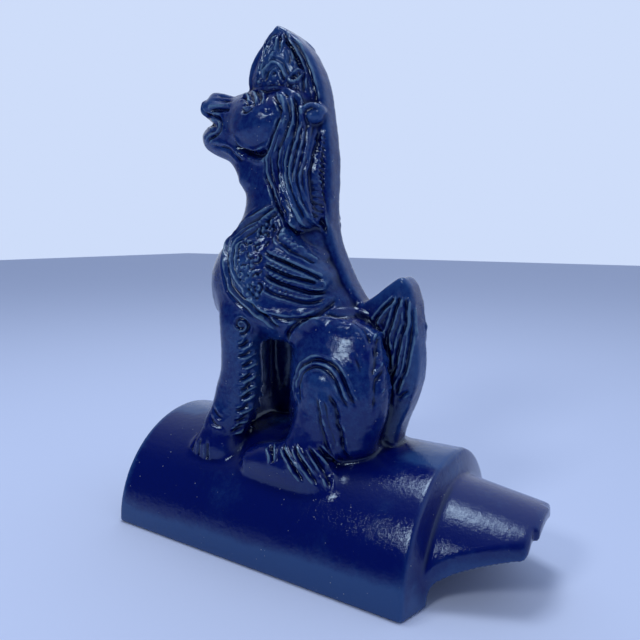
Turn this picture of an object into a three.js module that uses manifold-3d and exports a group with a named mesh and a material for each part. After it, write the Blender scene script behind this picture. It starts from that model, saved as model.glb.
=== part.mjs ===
// Ridge beast ornament: a half-round ridge tile with a seated, maned beast, made and fired as one piece.
// Millimetres, +Z up. Along the tile X runs from its open front end to its tongue, and the beast looks
// towards -X. Points are given from the tile's front end; ORIGIN_X moves the finished solid so that
// its origin lies on the ground under its middle.

import * as THREE from 'three';
import { mergeVertices } from 'three/addons/utils/BufferGeometryUtils.js';
import Module from 'manifold-3d';

const wasm = await Module();
wasm.setup();

// ---- driving dimensions ----

const TILE_RADIUS = 52; // outside of the half-round barrel
const BARREL_LENGTH = 160.7; // front end to the top of the shoulder
const SHOULDER_DROP = 10.5; // from the barrel down to the tongue
const SHOULDER_SLOPE = 3.1; // how far the shoulder face leans back
const TOTAL_LENGTH = 202; // front end to the tip of the tongue
const WALL_FRONT = 11; // barrel wall at the front end
const WALL_TONGUE = 5.6; // tongue wall
const TONGUE_TIP_RADIUS = 36;
const CHIP_DEPTH = 2.2; // both corners of the tip are broken back by this
const CHIP_FROM = [-13.6, 6]; // from these places along Y
const CHIP_REACH = 40;
const TILE_SWELL = 0.8; // the barrel is a touch fuller at the shoulder
const TILE_STEPS = 20; // facets round the half circle
const ORIGIN_X = TOTAL_LENGTH / 2;

const SPINE_HALF = 5.4; // half the thickness of the smooth strip down the back
const CREST_HALF = 6.4; // half the thickness of the flame crest
const TAIL_HALF = 6.2; // half the thickness of the tail
const EDGE_ROUND = 1.6; // rounding of the crest, spine and tail edges

const LOCK_WIDTH = 4.2; // a lock of the mane
const LOCK_RELIEF = 1.5;
const FEATHER_RELIEF = 1.7;
const FLUTE_RELIEF = 1.2;
const ROLL_RELIEF = 1.3; // collar rolls and folds of skin

const MUZZLE_HALF = 8.8; // half the width of the muzzle
const MUZZLE_ROUND = 2.2; // how far the muzzle's sides turn in at its outline
const MUZZLE_TURN = 4.6; // and over what width

const FACET_LENGTH = 9; // along a limb
const PINCH = 0.34; // how much a level section narrows towards the spine

const STRAND_FADE = 0.12; // the share of its length over which a carved strand fades at each end
const STRAND_SINK = 0.5; // the share of its relief by which its middle line lies under the surface
const STRAND_SPREAD = 0.6; // its half width as a share of its stated width
const STRAND_RISE = [0.6, 0.9]; // its half height as shares of its relief: at its ends, and added at its middle

const SIDES = [-1, 1];
const WELD = 1e-4; // points closer than this are one point
const FLANK_DISCS = 40; // places along a limb at which its reach is measured

// Trunk: height, front, back and half width of each level section.
const TRUNK = [
  [98, 44, 122, 18],
  [108, 31, 121, 26],
  [116, 28, 116, 28],
  [126, 28, 108, 28.5],
  [135, 31, 103, 27.5],
  [142, 35.5, 100, 24.5],
  [150, 42, 98, 20],
  [158, 46.5, 97.5, 16.5],
  [166, 48, 97.5, 14.5],
  [176, 47.5, 98.5, 14],
  [186, 50, 98.5, 14.5],
  [196, 55, 97, 15],
  [205, 58, 95, 14.5],
  [212, 61, 92, 12.5],
  [217, 65, 88, 9],
];

// Hindquarters: the same, from the tile to the loins.
const HIND = [
  [40, 82, 128, 27],
  [50, 79, 131, 27],
  [62, 77.5, 132.5, 25],
  [76, 77, 134, 24],
  [90, 77.5, 131, 23],
  [102, 80, 126, 22],
  [112, 86, 119, 20],
];

// Limbs: rows of [x, y, z, across, thick] along each middle line.
const MANE = [
  [78, 0, 208, 11, 14.5],
  [81, 0, 195, 12.5, 15.2],
  [83, 0, 181, 12.6, 16],
  [84.5, 0, 168, 11.5, 17],
  [88, 0, 156, 9, 17],
];
const SKULL = [
  [76, 0, 202, 11, 14.5],
  [65, 0, 202.5, 14.5, 17.5],
  [54, 0, 203, 15.5, 15.5],
  [45, 0, 202, 15, 12],
  [40, 0, 203.5, 11, 9.6],
];
const FORELEG = [
  [58, 14, 120, 14, 11],
  [57.5, 19, 107, 12.5, 9.8],
  [57, 19.5, 94, 11, 9.2],
  [57, 19.5, 81, 11.5, 9.2],
  [55, 20.5, 69, 12.5, 9.2],
  [52, 22, 59, 11.5, 9.6],
  [48, 24.5, 50, 11, 10],
  [46, 26.5, 43, 10.5, 9],
];
const FOREFOOT = [
  [36, 28, 39.5, 4.5, 5.5],
  [43, 27.5, 43, 7.5, 7.5],
  [55, 27, 43, 7, 7.5],
];
const WEB = [
  [50, 0, 114, 9, 18],
  [50, 0, 94, 4.6, 16],
  [50, 0, 74, 4.6, 16],
  [46, 0, 60, 5.4, 17],
  [43, 0, 46, 8, 19],
];
const THIGH = [
  [112, 12.5, 104, 19, 10],
  [111, 15.5, 90, 24, 13],
  [111.5, 16.5, 73, 24.5, 14.5],
  [112, 17, 56, 19, 13],
];
const SHIN = [
  [109, 20.5, 82, 12, 11.5],
  [107, 22.5, 71, 12.5, 10.5],
  [104, 25.5, 59, 12, 9],
  [102, 29, 49, 12, 8],
];
const HINDFOOT = [
  [74, 30.5, 41, 7.5, 8],
  [84, 30.5, 43, 9.5, 9.5],
  [97, 31, 43, 9, 9.5],
  [109, 31, 41, 8, 8],
  [117, 31, 38.5, 4.5, 5.5],
];

// ---- curves and tables ----

// A smooth table: rows of [key, values...] give a function of the key.
function table(rows) {
  const keys = rows.map((row) => row[0]);
  const values = rows.flatMap((row) => row.slice(1));
  const curve = new THREE.CubicInterpolant(keys, values, rows[0].length - 1);
  return (key) => Array.from(curve.evaluate(THREE.MathUtils.clamp(key, keys[0], keys.at(-1))));
}

const trunkAt = table(TRUNK);
const hindAt = table(HIND);

// A level section is an ellipse, pinched towards the narrow spine.
function sectionHalf(cos, half) {
  return half * Math.sqrt(Math.max(0, 1 - cos * cos)) * (1 - PINCH * Math.max(0, cos));
}

// How far the flank of a stacked body stands out from the middle plane at a point of the side view.
function stackFlank(bodyAt, x, z) {
  const [front, back, half] = bodyAt(z);
  const cos = (2 * x - front - back) / (back - front);
  return sectionHalf(THREE.MathUtils.clamp(cos, -1, 1), half);
}

// The middle line of a limb and its two half sizes, as curves that run together.
function limbCurves(rows, side = 1) {
  const line = new THREE.CatmullRomCurve3(rows.map(([x, y, z]) => new THREE.Vector3(x, side * y, z)));
  const size = new THREE.CatmullRomCurve3(rows.map((row) => new THREE.Vector3(row[3], row[4], 0)));
  return { line, size };
}

// The same for a limb: the furthest of the ellipses along its line that cover the point.
function limbFlank(rows) {
  const { line, size } = limbCurves(rows);
  const points = line.getPoints(FLANK_DISCS);
  const halves = size.getPoints(FLANK_DISCS);
  return (x, z) => {
    const reach = points.map((point, i) => {
      const half = halves[i];
      const off = Math.hypot(x - point.x, z - point.z) / half.x;
      return off < 1 ? point.y + half.y * Math.sqrt(1 - off * off) : 0;
    });
    return Math.max(...reach);
  };
}

const limbFlanks = [MANE, SKULL, FORELEG, THIGH, SHIN, HINDFOOT].map(limbFlank);

// The beast's outer surface over a point of the side view, before it is carved.
function outer(x, z) {
  const trunk = z > TRUNK[0][0] && z < TRUNK.at(-1)[0] ? stackFlank(trunkAt, x, z) : 0;
  const hind = z < HIND.at(-1)[0] ? stackFlank(hindAt, x, z) : 0;
  return Math.max(trunk, hind, ...limbFlanks.map((reach) => reach(x, z)));
}

// ---- solids ----

function signedVolume(points, faces) {
  const [a, b, c] = [new THREE.Vector3(), new THREE.Vector3(), new THREE.Vector3()];
  let sum = 0;
  for (let i = 0; i < faces.length; i += 3) {
    a.fromArray(points, faces[i] * 3);
    b.fromArray(points, faces[i + 1] * 3);
    c.fromArray(points, faces[i + 2] * 3);
    sum += a.dot(b.cross(c));
  }
  return sum / 6;
}

// A closed geometry as a manifold solid, turned so that its faces point out.
function solid(geometry) {
  const bare = geometry.clone();
  bare.deleteAttribute('normal');
  bare.deleteAttribute('uv');
  const merged = mergeVertices(bare, WELD);
  const points = Float32Array.from(merged.attributes.position.array);
  const faces = Uint32Array.from(merged.index.array);
  if (signedVolume(points, faces) < 0) faces.reverse();
  return new wasm.Manifold(new wasm.Mesh({ numProp: 3, vertProperties: points, triVerts: faces }));
}

// A skin over a row of rings with the same number of points, closed by `cap`, a list of faces over one
// ring, or drawn to a point where a ring is a single point repeated.
function skin(rings, cap) {
  const count = rings[0].length;
  const positions = rings.flat().flatMap((point) => point.toArray());
  const faces = [];
  for (let i = 0; i + 1 < rings.length; i += 1) {
    for (let j = 0; j < count; j += 1) {
      const k = (j + 1) % count;
      const [a, b, c, d] = [i * count + j, i * count + k, (i + 1) * count + k, (i + 1) * count + j];
      faces.push(a, b, c, a, c, d);
    }
  }
  const last = (rings.length - 1) * count;
  for (const [a, b, c] of cap(count)) {
    faces.push(a, c, b);
    faces.push(last + a, last + b, last + c);
  }
  const geometry = new THREE.BufferGeometry();
  geometry.setAttribute('position', new THREE.Float32BufferAttribute(positions, 3));
  geometry.setIndex(faces);
  return solid(weld(geometry));
}

// Drops the faces that close up to nothing where a ring is drawn to a point.
function weld(geometry) {
  const merged = mergeVertices(geometry, WELD);
  const index = merged.index.array;
  const kept = [];
  for (let i = 0; i < index.length; i += 3) {
    const [a, b, c] = [index[i], index[i + 1], index[i + 2]];
    if (a !== b && b !== c && c !== a) kept.push(a, b, c);
  }
  merged.setIndex(kept);
  return merged;
}

// Faces over a round ring: a fan from its first point.
function fan(count) {
  return Array.from({ length: count - 2 }, (_, i) => [0, i + 1, i + 2]);
}

// Faces over a ring that runs out along one arc and back along another.
function strip(count) {
  const faces = [];
  for (let i = 0; i + 1 < count / 2; i += 1) {
    const j = count - 1 - i;
    faces.push([i, i + 1, j], [i + 1, j - 1, j]);
  }
  return faces;
}

// A limb swept along its middle line, with domed ends: `across` is its half size in the side view,
// square to the line, and `thick` its half size along Y.
function limb(rows, side = 1, { sides = 10, total, dome = 0.7, caps = 2, offset = 0.5 } = {}) {
  const { line, size } = limbCurves(rows, side);
  const steps = total ?? Math.round(line.getLength() / FACET_LENGTH);
  const domeStations = (at, way) =>
    Array.from({ length: caps }, (_, i) => {
      const turn = (i * Math.PI) / 2 / caps;
      return [at, way * dome * Math.cos(turn), Math.sin(turn)];
    });
  const stations = [
    ...domeStations(0, -1),
    ...Array.from({ length: steps + 1 }, (_, i) => [i / steps, 0, 1]),
    ...domeStations(1, 1).reverse(),
  ];
  const rings = stations.map(([at, out, scale]) => {
    const centre = line.getPoint(at);
    const along = line.getTangent(at);
    const wide = new THREE.Vector3(0, 1, 0).addScaledVector(along, -along.y).normalize();
    const across = wide.clone().cross(along);
    const { x: a, y: b } = size.getPoint(at);
    centre.addScaledVector(along, out * Math.min(a, b));
    return Array.from({ length: sides }, (_, j) => {
      const turn = ((j + offset) * 2 * Math.PI) / sides;
      return centre
        .clone()
        .addScaledVector(across, scale * a * Math.cos(turn))
        .addScaledVector(wide, scale * b * Math.sin(turn));
    });
  });
  return skin(rings, fan);
}

const limbPair = (rows, options) => SIDES.map((side) => limb(rows, side, options));

// A body built of level sections, from a table of heights.
function stack(rows, bodyAt, { sides = 18, step = 8.5 } = {}) {
  const low = rows[0][0];
  const high = rows.at(-1)[0];
  const levels = Math.round((high - low) / step);
  const rings = [];
  for (let i = 0; i <= levels; i += 1) {
    const z = low + ((high - low) * i) / levels;
    const [front, back, half] = bodyAt(z);
    rings.push(
      Array.from({ length: sides }, (_, j) => {
        const turn = (j * 2 * Math.PI) / sides;
        const x = (front + back) / 2 + ((back - front) / 2) * Math.cos(turn);
        return new THREE.Vector3(x, Math.sign(Math.sin(turn)) * sectionHalf(Math.cos(turn), half), z);
      }),
    );
  }
  return skin(rings, fan);
}

// An upright plate in the middle plane, cut to a side outline through the given points. Its faces turn in
// by `round` at the outline, over a width of `turn`.
function plate(points, half, round, turn = round) {
  const shape = new THREE.Shape();
  shape.moveTo(...points[0]);
  for (const point of points.slice(1)) shape.lineTo(...point);
  const geometry = new THREE.ExtrudeGeometry(shape, {
    depth: 2 * (half - turn),
    bevelThickness: turn,
    bevelSize: round,
    bevelOffset: -round,
    bevelSegments: 1,
    steps: 1,
  });
  geometry.translate(0, 0, turn - half);
  geometry.rotateX(Math.PI / 2);
  return solid(geometry);
}

// Points evenly along a smooth line through the given side-view points.
function smooth(points, count) {
  return new THREE.SplineCurve(points.map(([x, z]) => new THREE.Vector2(x, z)))
    .getPoints(count)
    .map((point) => [point.x, point.y]);
}

// A raised strand that follows side-view points over the surface `out`, on both sides of the beast.
// Its section is a triangle with a corner outwards, so that it rises to a soft edge.
function strands(points, width, relief, out, count = 5) {
  const course = smooth(points, count);
  const rows = course.map(([x, z], i) => {
    const swell = Math.sin(Math.PI * THREE.MathUtils.lerp(STRAND_FADE, 1 - STRAND_FADE, i / count));
    const rise = STRAND_RISE[0] + STRAND_RISE[1] * swell;
    return [x, out(x, z) - relief * STRAND_SINK, z, width * STRAND_SPREAD * swell, relief * rise];
  });
  const options = { sides: 3, total: count, dome: 1, caps: 1 };
  return SIDES.map((side) => limb(rows, side, { ...options, offset: (2 + side) / 4 }));
}

// ---- the tile ----

// A half-round shell: rows of [x, outer radius, inner radius, outer edge angle, inner edge angle], the
// angles in degrees above the ground at the lower edges.
function shell(rows) {
  const rings = rows.map(([x, outer, inner, outerFrom, innerFrom]) => {
    const arc = (radius, from) => {
      const start = THREE.MathUtils.degToRad(from);
      const sweep = Math.PI - 2 * start;
      return Array.from({ length: TILE_STEPS + 1 }, (_, i) => {
        const turn = start + (sweep * i) / TILE_STEPS;
        return new THREE.Vector3(x, -radius * Math.cos(turn), radius * Math.sin(turn));
      });
    };
    return [...arc(outer, outerFrom), ...arc(inner, innerFrom).reverse()];
  });
  return skin(rings, strip);
}

const tongueRoot = BARREL_LENGTH + SHOULDER_SLOPE;
const tongueRootRadius = TILE_RADIUS - SHOULDER_DROP;

// The tongue narrows evenly, and its lower edges are cut away in a rising hollow curve. The cut slopes,
// so it shows from outside as a band between the outer and the inner edge.
function tongueRow(x, outerFrom, innerFrom) {
  const along = (x - tongueRoot) / (TOTAL_LENGTH - tongueRoot);
  const outer = THREE.MathUtils.lerp(tongueRootRadius, TONGUE_TIP_RADIUS, along);
  return [x, outer, outer - WALL_TONGUE, outerFrom, innerFrom];
}

function tile() {
  const body = shell([
    [0, TILE_RADIUS, TILE_RADIUS - WALL_FRONT, 0, 0],
    [BARREL_LENGTH, TILE_RADIUS + TILE_SWELL, tongueRootRadius - WALL_TONGUE, 0, 0],
    tongueRow(tongueRoot, 17, 7),
    tongueRow(168, 27.5, 14.5),
    tongueRow(174, 35, 22),
    tongueRow(182, 41.5, 30),
    tongueRow(191, 49, 38),
    tongueRow(198.5, 56, 44),
    tongueRow(TOTAL_LENGTH, 66, 58),
  ]);
  const chips = SIDES.map((side, i) => {
    const chip = new THREE.BoxGeometry(2 * CHIP_DEPTH, CHIP_REACH, 2 * TONGUE_TIP_RADIUS);
    chip.translate(TOTAL_LENGTH, CHIP_FROM[i] + (side * CHIP_REACH) / 2, 0);
    return solid(chip);
  });
  return chips.reduce((whole, chip) => whole.subtract(chip), body);
}

// ---- the beast ----

function body() {
  return [
    stack(TRUNK, trunkAt),
    stack(HIND, hindAt),
    limb(MANE),
    limb(SKULL),
    limb(WEB, 1, { sides: 8 }),
    ...limbPair(FORELEG),
    ...limbPair(FOREFOOT),
    ...limbPair(THIGH),
    ...limbPair(SHIN),
    ...limbPair(HINDFOOT),
  ];
}

// The muzzle: a flat-sided snout with pursed lips, cut to its profile.
function muzzle() {
  const nose = smooth([[49, 218.5], [42, 217.6], [34, 220], [28, 221.2], [23.6, 217.6], [21, 213.4], [25, 208.4]], 8);
  const jaw = smooth([[24.2, 203.6], [21, 199.4], [22.6, 193.6], [27, 189.8], [37, 185.8], [46, 182]], 6);
  return plate([[60, 216], ...nose, [27.5, 206], ...jaw, [60, 184]], MUZZLE_HALF, MUZZLE_ROUND, MUZZLE_TURN);
}

// The smooth strip that runs up the back and ends in the flame crest above the head.
function spine() {
  return plate(
    [
      [57, 208],
      ...smooth([[52.5, 215], [51, 225], [55, 234], [62, 241]], 6),
      [68.5, 247],
      [73, 245],
      ...smooth([[79.5, 240.5], [88, 231], [93.8, 219], [96.5, 206], [98.6, 192], [99.6, 178], [99, 164]], 9),
      ...smooth([[99.2, 154], [101.5, 145], [105.8, 135], [112, 124], [120, 113], [128, 102]], 6),
      [104, 102],
      [84, 150],
      [80, 190],
    ],
    SPINE_HALF,
    EDGE_ROUND,
  );
}

function crest() {
  return plate(
    [
      [59, 210],
      ...smooth([[55.5, 216], [55, 224], [59, 232], [64, 237.5]], 5),
      [68.5, 242.5],
      ...smooth([[75, 238.5], [82, 229], [87.5, 219], [90, 210]], 6),
      [84, 200],
      [66, 200],
    ],
    CREST_HALF + FLUTE_RELIEF,
    EDGE_ROUND + 1,
  );
}

function tail() {
  return plate(
    [
      [104, 100],
      [112, 113],
      ...smooth([[118.5, 118.5], [124.5, 122.5], [131, 127.8], [136.5, 130.4], [140.5, 127]], 7),
      ...smooth([[143, 120], [144.2, 108], [145.4, 90], [144.2, 81], [141, 71], [137, 61], [134, 46]], 8),
      [112, 46],
    ],
    TAIL_HALF,
    EDGE_ROUND,
  );
}

// ---- carving ----

const onCrest = () => CREST_HALF + FLUTE_RELIEF;
const onTail = () => TAIL_HALF;

// The skull and mane stand out from the trunk's flank round the cheek.
function mane() {
  const locks = [
    [[77, 212], [80.8, 204], [78.5, 195], [74, 187], [73, 179], [75.5, 170], [80, 162], [87, 152]],
    [[82.5, 209], [84.5, 202], [82.5, 192], [79.5, 184], [79.5, 174], [84, 163], [91, 153]],
    [[88, 200], [88, 189], [85, 179], [88, 168], [95, 156]],
    [[93, 196], [91.5, 185], [91.5, 173], [96, 161]],
  ];
  return locks.flatMap((lock) => strands(lock, LOCK_WIDTH, LOCK_RELIEF, outer));
}

// The small ear is a curl lying back on the mane.
function ears() {
  const curl = [
    [86.4, 10, 202.8, 2, 2],
    [89.6, 9.2, 205.8, 2, 2],
    [92.8, 7.4, 202.8, 2, 2],
    [90.6, 8.6, 199.4, 2, 2],
  ];
  return limbPair(curl, { sides: 5, total: 5, caps: 1 });
}

// The double fold over the knee, toes on both paws, and the fringe down the back of the foreleg.
function legCarving() {
  const folds = [
    [[95, 71], [93.5, 82], [97.5, 91.5], [106, 96], [115, 95], [122, 88.5], [127, 76]],
    [[109.5, 84], [112.5, 73], [114.5, 63], [117, 52]],
  ];
  const toes = [
    [[92, 53], [99, 49], [107, 42]],
    [[99, 54], [106, 48.5], [113, 41]],
  ];
  const fringe = Array.from({ length: 5 }, (_, i) => {
    const [x, z] = [60 - 0.3 * i * i, 102 - 10 * i];
    return [[x, z], [x + 4, z + 2.5], [x + 6, z + 6]];
  });
  return [
    ...folds.flatMap((line) => strands(line, 3.4, ROLL_RELIEF, outer)),
    ...toes.flatMap((line) => strands(line, 3, ROLL_RELIEF, outer, 3)),
    ...fringe.flatMap((line) => strands(line, 3, ROLL_RELIEF, outer, 2)),
  ];
}

// Wing: long feathers swept back from the shoulder, with bands round the breast before them.
function wing() {
  const feathers = [
    [[72, 150], [82, 146], [91, 142], [98, 138]],
    [[70, 144], [81, 141], [91, 137], [101, 130]],
    [[69, 138], [81, 134.5], [93, 130], [103, 125]],
    [[67, 131.5], [79, 128], [91, 124], [101, 121]],
    [[64, 124.5], [76, 121], [88, 117.5], [99, 117]],
  ];
  const bands = [
    [[74, 157], [60, 149], [50, 140], [47, 131], [50, 121], [58, 113], [70, 109]],
    [[62, 146], [54, 138.5], [52.5, 130], [56, 121], [64, 115.5]],
  ];
  return [
    ...feathers.flatMap((line) => strands(line, 7, FEATHER_RELIEF, outer, 4)),
    ...bands.flatMap((line) => strands(line, 3.6, ROLL_RELIEF, outer)),
  ];
}

// Two rolls of a collar where the neck meets the breast.
function collar() {
  const rolls = [
    [[68, 163], [60, 158], [52, 153]],
    [[71, 158], [62, 152], [53, 147]],
  ];
  return rolls.flatMap((line) => strands(line, 3, ROLL_RELIEF, outer, 3));
}

function crestFlames() {
  const flames = [
    [[66, 240], [60.5, 232], [58, 224], [59, 216]],
    [[68, 240], [65.5, 233], [65, 226]],
    [[70.5, 239], [73, 232], [77.5, 224]],
    [[73, 238], [79, 229], [83, 219], [84, 211]],
    [[62, 218], [67, 223.5], [73, 223.5], [78, 218]],
  ];
  return flames.flatMap((line) => strands(line, 3, FLUTE_RELIEF, onCrest, 3));
}

function tailFlutes() {
  const flutes = [
    [[133, 125], [126, 119], [121, 112], [120, 103]],
    [[135, 125], [130, 115], [126.5, 104], [127, 92]],
    [[137, 124], [135, 112], [133, 98], [131.5, 84], [129, 74]],
    [[139, 119], [140, 106], [139.5, 92], [135.5, 78], [130, 68]],
  ];
  return flutes.flatMap((line) => strands(line, 5, FLUTE_RELIEF, onTail, 3));
}

// ---- assembly ----

function ridgeTileBeast() {
  const pieces = [
    tile(),
    ...body(),
    muzzle(),
    spine(),
    crest(),
    tail(),
    ...mane(),
    ...ears(),
    ...wing(),
    ...collar(),
    ...legCarving(),
    ...crestFlames(),
    ...tailFlutes(),
  ];
  return pieces.reduce((whole, piece) => whole.add(piece));
}

function meshOf(name, body, material) {
  const { vertProperties, triVerts } = body.getMesh();
  const geometry = new THREE.BufferGeometry();
  geometry.setAttribute('position', new THREE.BufferAttribute(Float32Array.from(vertProperties), 3));
  geometry.setIndex(new THREE.BufferAttribute(Uint32Array.from(triVerts), 1));
  geometry.computeVertexNormals();
  const mesh = new THREE.Mesh(geometry, material);
  mesh.name = name;
  mesh.position.x = -ORIGIN_X;
  return mesh;
}

const cobaltGlaze = new THREE.MeshStandardMaterial({ color: 0x101f66, roughness: 0.22, metalness: 0 });

const ornament = new THREE.Group();
ornament.add(meshOf('ridge_tile_beast', ridgeTileBeast(), cobaltGlaze));

export default ornament;
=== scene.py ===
"""Ridge beast ornament: a stepped half-round ridge tile with a seated, maned beast, glazed in cobalt blue.

The clay is worked on a grid of distances: soft forms are laid on one another and smoothed together, the
skin is drawn over them, and the carving is pressed into the skin stroke by stroke. Lengths in the design
are millimetres. X runs from the tile's open front end to its tongue, the near flank has negative Y, and
`Place` turns them into the frame's metres. A side-view point is (x, z).
"""

from __future__ import annotations

import logging
import math
from abc import ABC, abstractmethod
from dataclasses import dataclass, replace
from enum import Enum
from itertools import product
from typing import Any

import bpy
import numpy as np
from mathutils import Matrix, Vector


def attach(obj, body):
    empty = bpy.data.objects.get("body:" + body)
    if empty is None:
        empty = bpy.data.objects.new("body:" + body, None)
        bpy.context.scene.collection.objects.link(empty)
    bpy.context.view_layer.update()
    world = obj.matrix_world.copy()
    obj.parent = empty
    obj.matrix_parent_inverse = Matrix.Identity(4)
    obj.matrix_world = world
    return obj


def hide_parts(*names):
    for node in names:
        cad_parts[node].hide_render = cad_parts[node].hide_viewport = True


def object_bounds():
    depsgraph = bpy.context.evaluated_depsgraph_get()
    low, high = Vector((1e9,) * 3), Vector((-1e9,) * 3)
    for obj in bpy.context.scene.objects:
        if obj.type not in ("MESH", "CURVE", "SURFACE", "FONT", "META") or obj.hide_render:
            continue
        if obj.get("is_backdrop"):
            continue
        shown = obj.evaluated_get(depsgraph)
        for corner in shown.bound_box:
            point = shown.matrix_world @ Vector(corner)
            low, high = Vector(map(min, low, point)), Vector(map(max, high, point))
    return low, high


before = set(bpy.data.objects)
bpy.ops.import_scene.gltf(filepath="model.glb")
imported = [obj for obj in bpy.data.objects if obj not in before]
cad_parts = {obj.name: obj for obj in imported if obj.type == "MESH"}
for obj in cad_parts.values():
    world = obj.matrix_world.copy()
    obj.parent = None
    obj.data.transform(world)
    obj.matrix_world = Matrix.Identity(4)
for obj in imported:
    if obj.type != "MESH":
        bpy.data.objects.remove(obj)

LOG = logging.getLogger("ridge_beast")
NODE = "ridge_tile_beast"
CAD_LOW, CAD_HIGH = (list(corner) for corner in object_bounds())

Row = tuple[float, ...]
Rows = tuple[Row, ...]
Line = tuple[tuple[float, float], ...]

GUIDE_POINTS = 14  # points along a curl, or along a line drawn between two guides
WAVES = 10  # waves that make up one unevenness
SLOPES = (0.12, 0.42)  # how far the skin faces sideways where strokes begin, and where they are full
SHOULDER, SHOULDER_AT, SHOULDER_WIDTH, BED_WIDTH = 0.34, 1.5, 0.5, 0.62  # a groove's section, in its widths
LIP_RISE, LIP_RUN, LIP_FOLD, FOLD_AT = 2.2, 2.4, 0.45, 0.6  # a lip's section, in its widths
GOLDEN = 0.618  # steps of this share of a width spread evenly and never line up
EMPTY = 50.0  # the distance to the clay where none is laid, in millimetres
ACROSS_SEED, UPRIGHT_SEED, PRESS_SEED, ROUGH_SEED = 1, 5, 9, 20  # each picks one set of waves


# ------------------------------------------------------------------ places, curves and blends


@dataclass(frozen=True)
class Place:
    """Where the design's millimetres lie in the frame.

    One millimetre of design is the CAD solid's height over the design height.
    """

    height: float = 247.0
    length: float = 202.0
    width: float = 105.6

    @property
    def unit(self) -> float:
        """Metres in the frame for one millimetre of design."""
        return (CAD_HIGH[2] - CAD_LOW[2]) / self.height

    def metres(self, points: np.ndarray) -> np.ndarray:
        """Moves design points into the frame, and keeps them in the solid's box.

        Args:
            points: Design points, one a row, in millimetres.

        Returns:
            The same points in the frame, in metres.
        """
        moved = (points - np.array([self.length / 2, 0.0, 0.0])) * self.unit
        return np.clip(moved, CAD_LOW, CAD_HIGH)


def smooth_rows(rows: Rows | np.ndarray, spacing: float, columns: int) -> np.ndarray:
    """Runs a smooth curve through rows of numbers.

    Args:
        rows: The rows that the curve passes through.
        spacing: The distance between samples, measured over the first `columns` numbers.
        columns: How many leading numbers of a row are a place.

    Returns:
        Samples of the curve, one a row.
    """
    knots = np.asarray(rows, float)
    knots = np.vstack([2 * knots[0] - knots[1], knots, 2 * knots[-1] - knots[-2]])
    pieces = []
    for before, start, end, after in zip(knots, knots[1:], knots[2:], knots[3:]):
        count = max(1, int(math.ceil(np.linalg.norm((end - start)[:columns]) / spacing)))
        t = (np.arange(count) / count)[:, None]
        cubic = (3 * start - before - 3 * end + after) * t**3
        square = (2 * before - 5 * start + 4 * end - after) * t**2
        pieces.append(0.5 * (2 * start + (end - before) * t + square + cubic))
    return np.vstack([*pieces, knots[-2:-1]])


def table_at(rows: Rows, keys: np.ndarray) -> list[np.ndarray]:
    """Reads a smooth table.

    Args:
        rows: Rows of a key and its values, with rising keys.
        keys: Where to read it. Keys outside the table read its ends.

    Returns:
        One array for each value column.
    """
    dense = smooth_rows(rows, 1.0, 1)
    return [np.interp(keys, dense[:, 0], dense[:, i]) for i in range(1, dense.shape[1])]


def ease(low: float, high: float, value: np.ndarray) -> np.ndarray:
    """Rises smoothly from 0 where `value` is `low` to 1 where it is `high`.

    Args:
        low: Where the rise begins.
        high: Where it ends.
        value: The values to ease.

    Returns:
        Numbers from 0 to 1.
    """
    t = np.clip((value - low) / (high - low), 0, 1)
    return t * t * (3 - 2 * t)


def soft_min(a: np.ndarray, b: np.ndarray, blend: float) -> np.ndarray:
    """The smaller of two distances, with a fillet where they are close.

    Args:
        a: The first distances.
        b: The second distances.
        blend: How close they are where the fillet begins.

    Returns:
        The blended distances.
    """
    if blend <= 0:
        return np.minimum(a, b)
    gap = np.maximum(blend - np.abs(a - b), 0.0) / blend
    return np.minimum(a, b) - gap * gap * blend * 0.25


def soft_max(a: np.ndarray, b: np.ndarray, blend: float) -> np.ndarray:
    """The larger of two distances, rounded off where they are close.

    Args:
        a: The first distances.
        b: The second distances.
        blend: How close they are where the rounding begins.

    Returns:
        The blended distances.
    """
    return -soft_min(-a, -b, blend)


def oval(offsets: list[np.ndarray], sizes: list[Any]) -> np.ndarray:
    """Nearly the distance to an ellipse or an ellipsoid round the origin.

    Args:
        offsets: Each point's offset along each half axis.
        sizes: The half axes.

    Returns:
        The distances, negative inside.
    """
    tiny = 1e-9
    ratio = np.sqrt(sum((d / s) ** 2 for d, s in zip(offsets, sizes)) + tiny)
    slope = np.sqrt(sum((d / s**2) ** 2 for d, s in zip(offsets, sizes)) + tiny / np.min(sizes[0]) ** 2)
    return ratio * (ratio - 1) / slope


def joined(runs: tuple[Line, ...], spacing: float = 2.5) -> Line:
    """Joins smooth runs and corners into one outline.

    Args:
        runs: Runs of points. A run of over three points is smooth.
        spacing: How far apart the points of a smooth run are set.

    Returns:
        The outline's points.
    """
    points: list[tuple[float, float]] = []
    for run in runs:
        rows = smooth_rows(run, spacing, 2) if len(run) > 3 else np.array(run, float)
        points += [tuple(row) for row in rows]
    return tuple(points)


def turned(centre: tuple[float, float], radii: np.ndarray | float, turns: np.ndarray) -> Line:
    """Points round a centre.

    Args:
        centre: The centre.
        radii: Each point's distance from it, or one distance for all.
        turns: Each point's angle, in radians.

    Returns:
        The points.
    """
    x, z = centre
    return tuple(map(tuple, np.stack([x + radii * np.cos(turns), z + radii * np.sin(turns)], 1)))


def evenly(line: Line, count: int) -> np.ndarray:
    """Places points evenly along a smooth line.

    Args:
        line: Side-view points that the line passes through.
        count: How many points are wanted.

    Returns:
        The points, one a row.
    """
    dense = smooth_rows(line, 0.5, 2)
    run = np.concatenate([[0], np.cumsum(np.hypot(*np.diff(dense, axis=0).T))])
    at = np.linspace(0, run[-1], count)
    return np.stack([np.interp(at, run, dense[:, 0]), np.interp(at, run, dense[:, 1])], 1)


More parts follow.
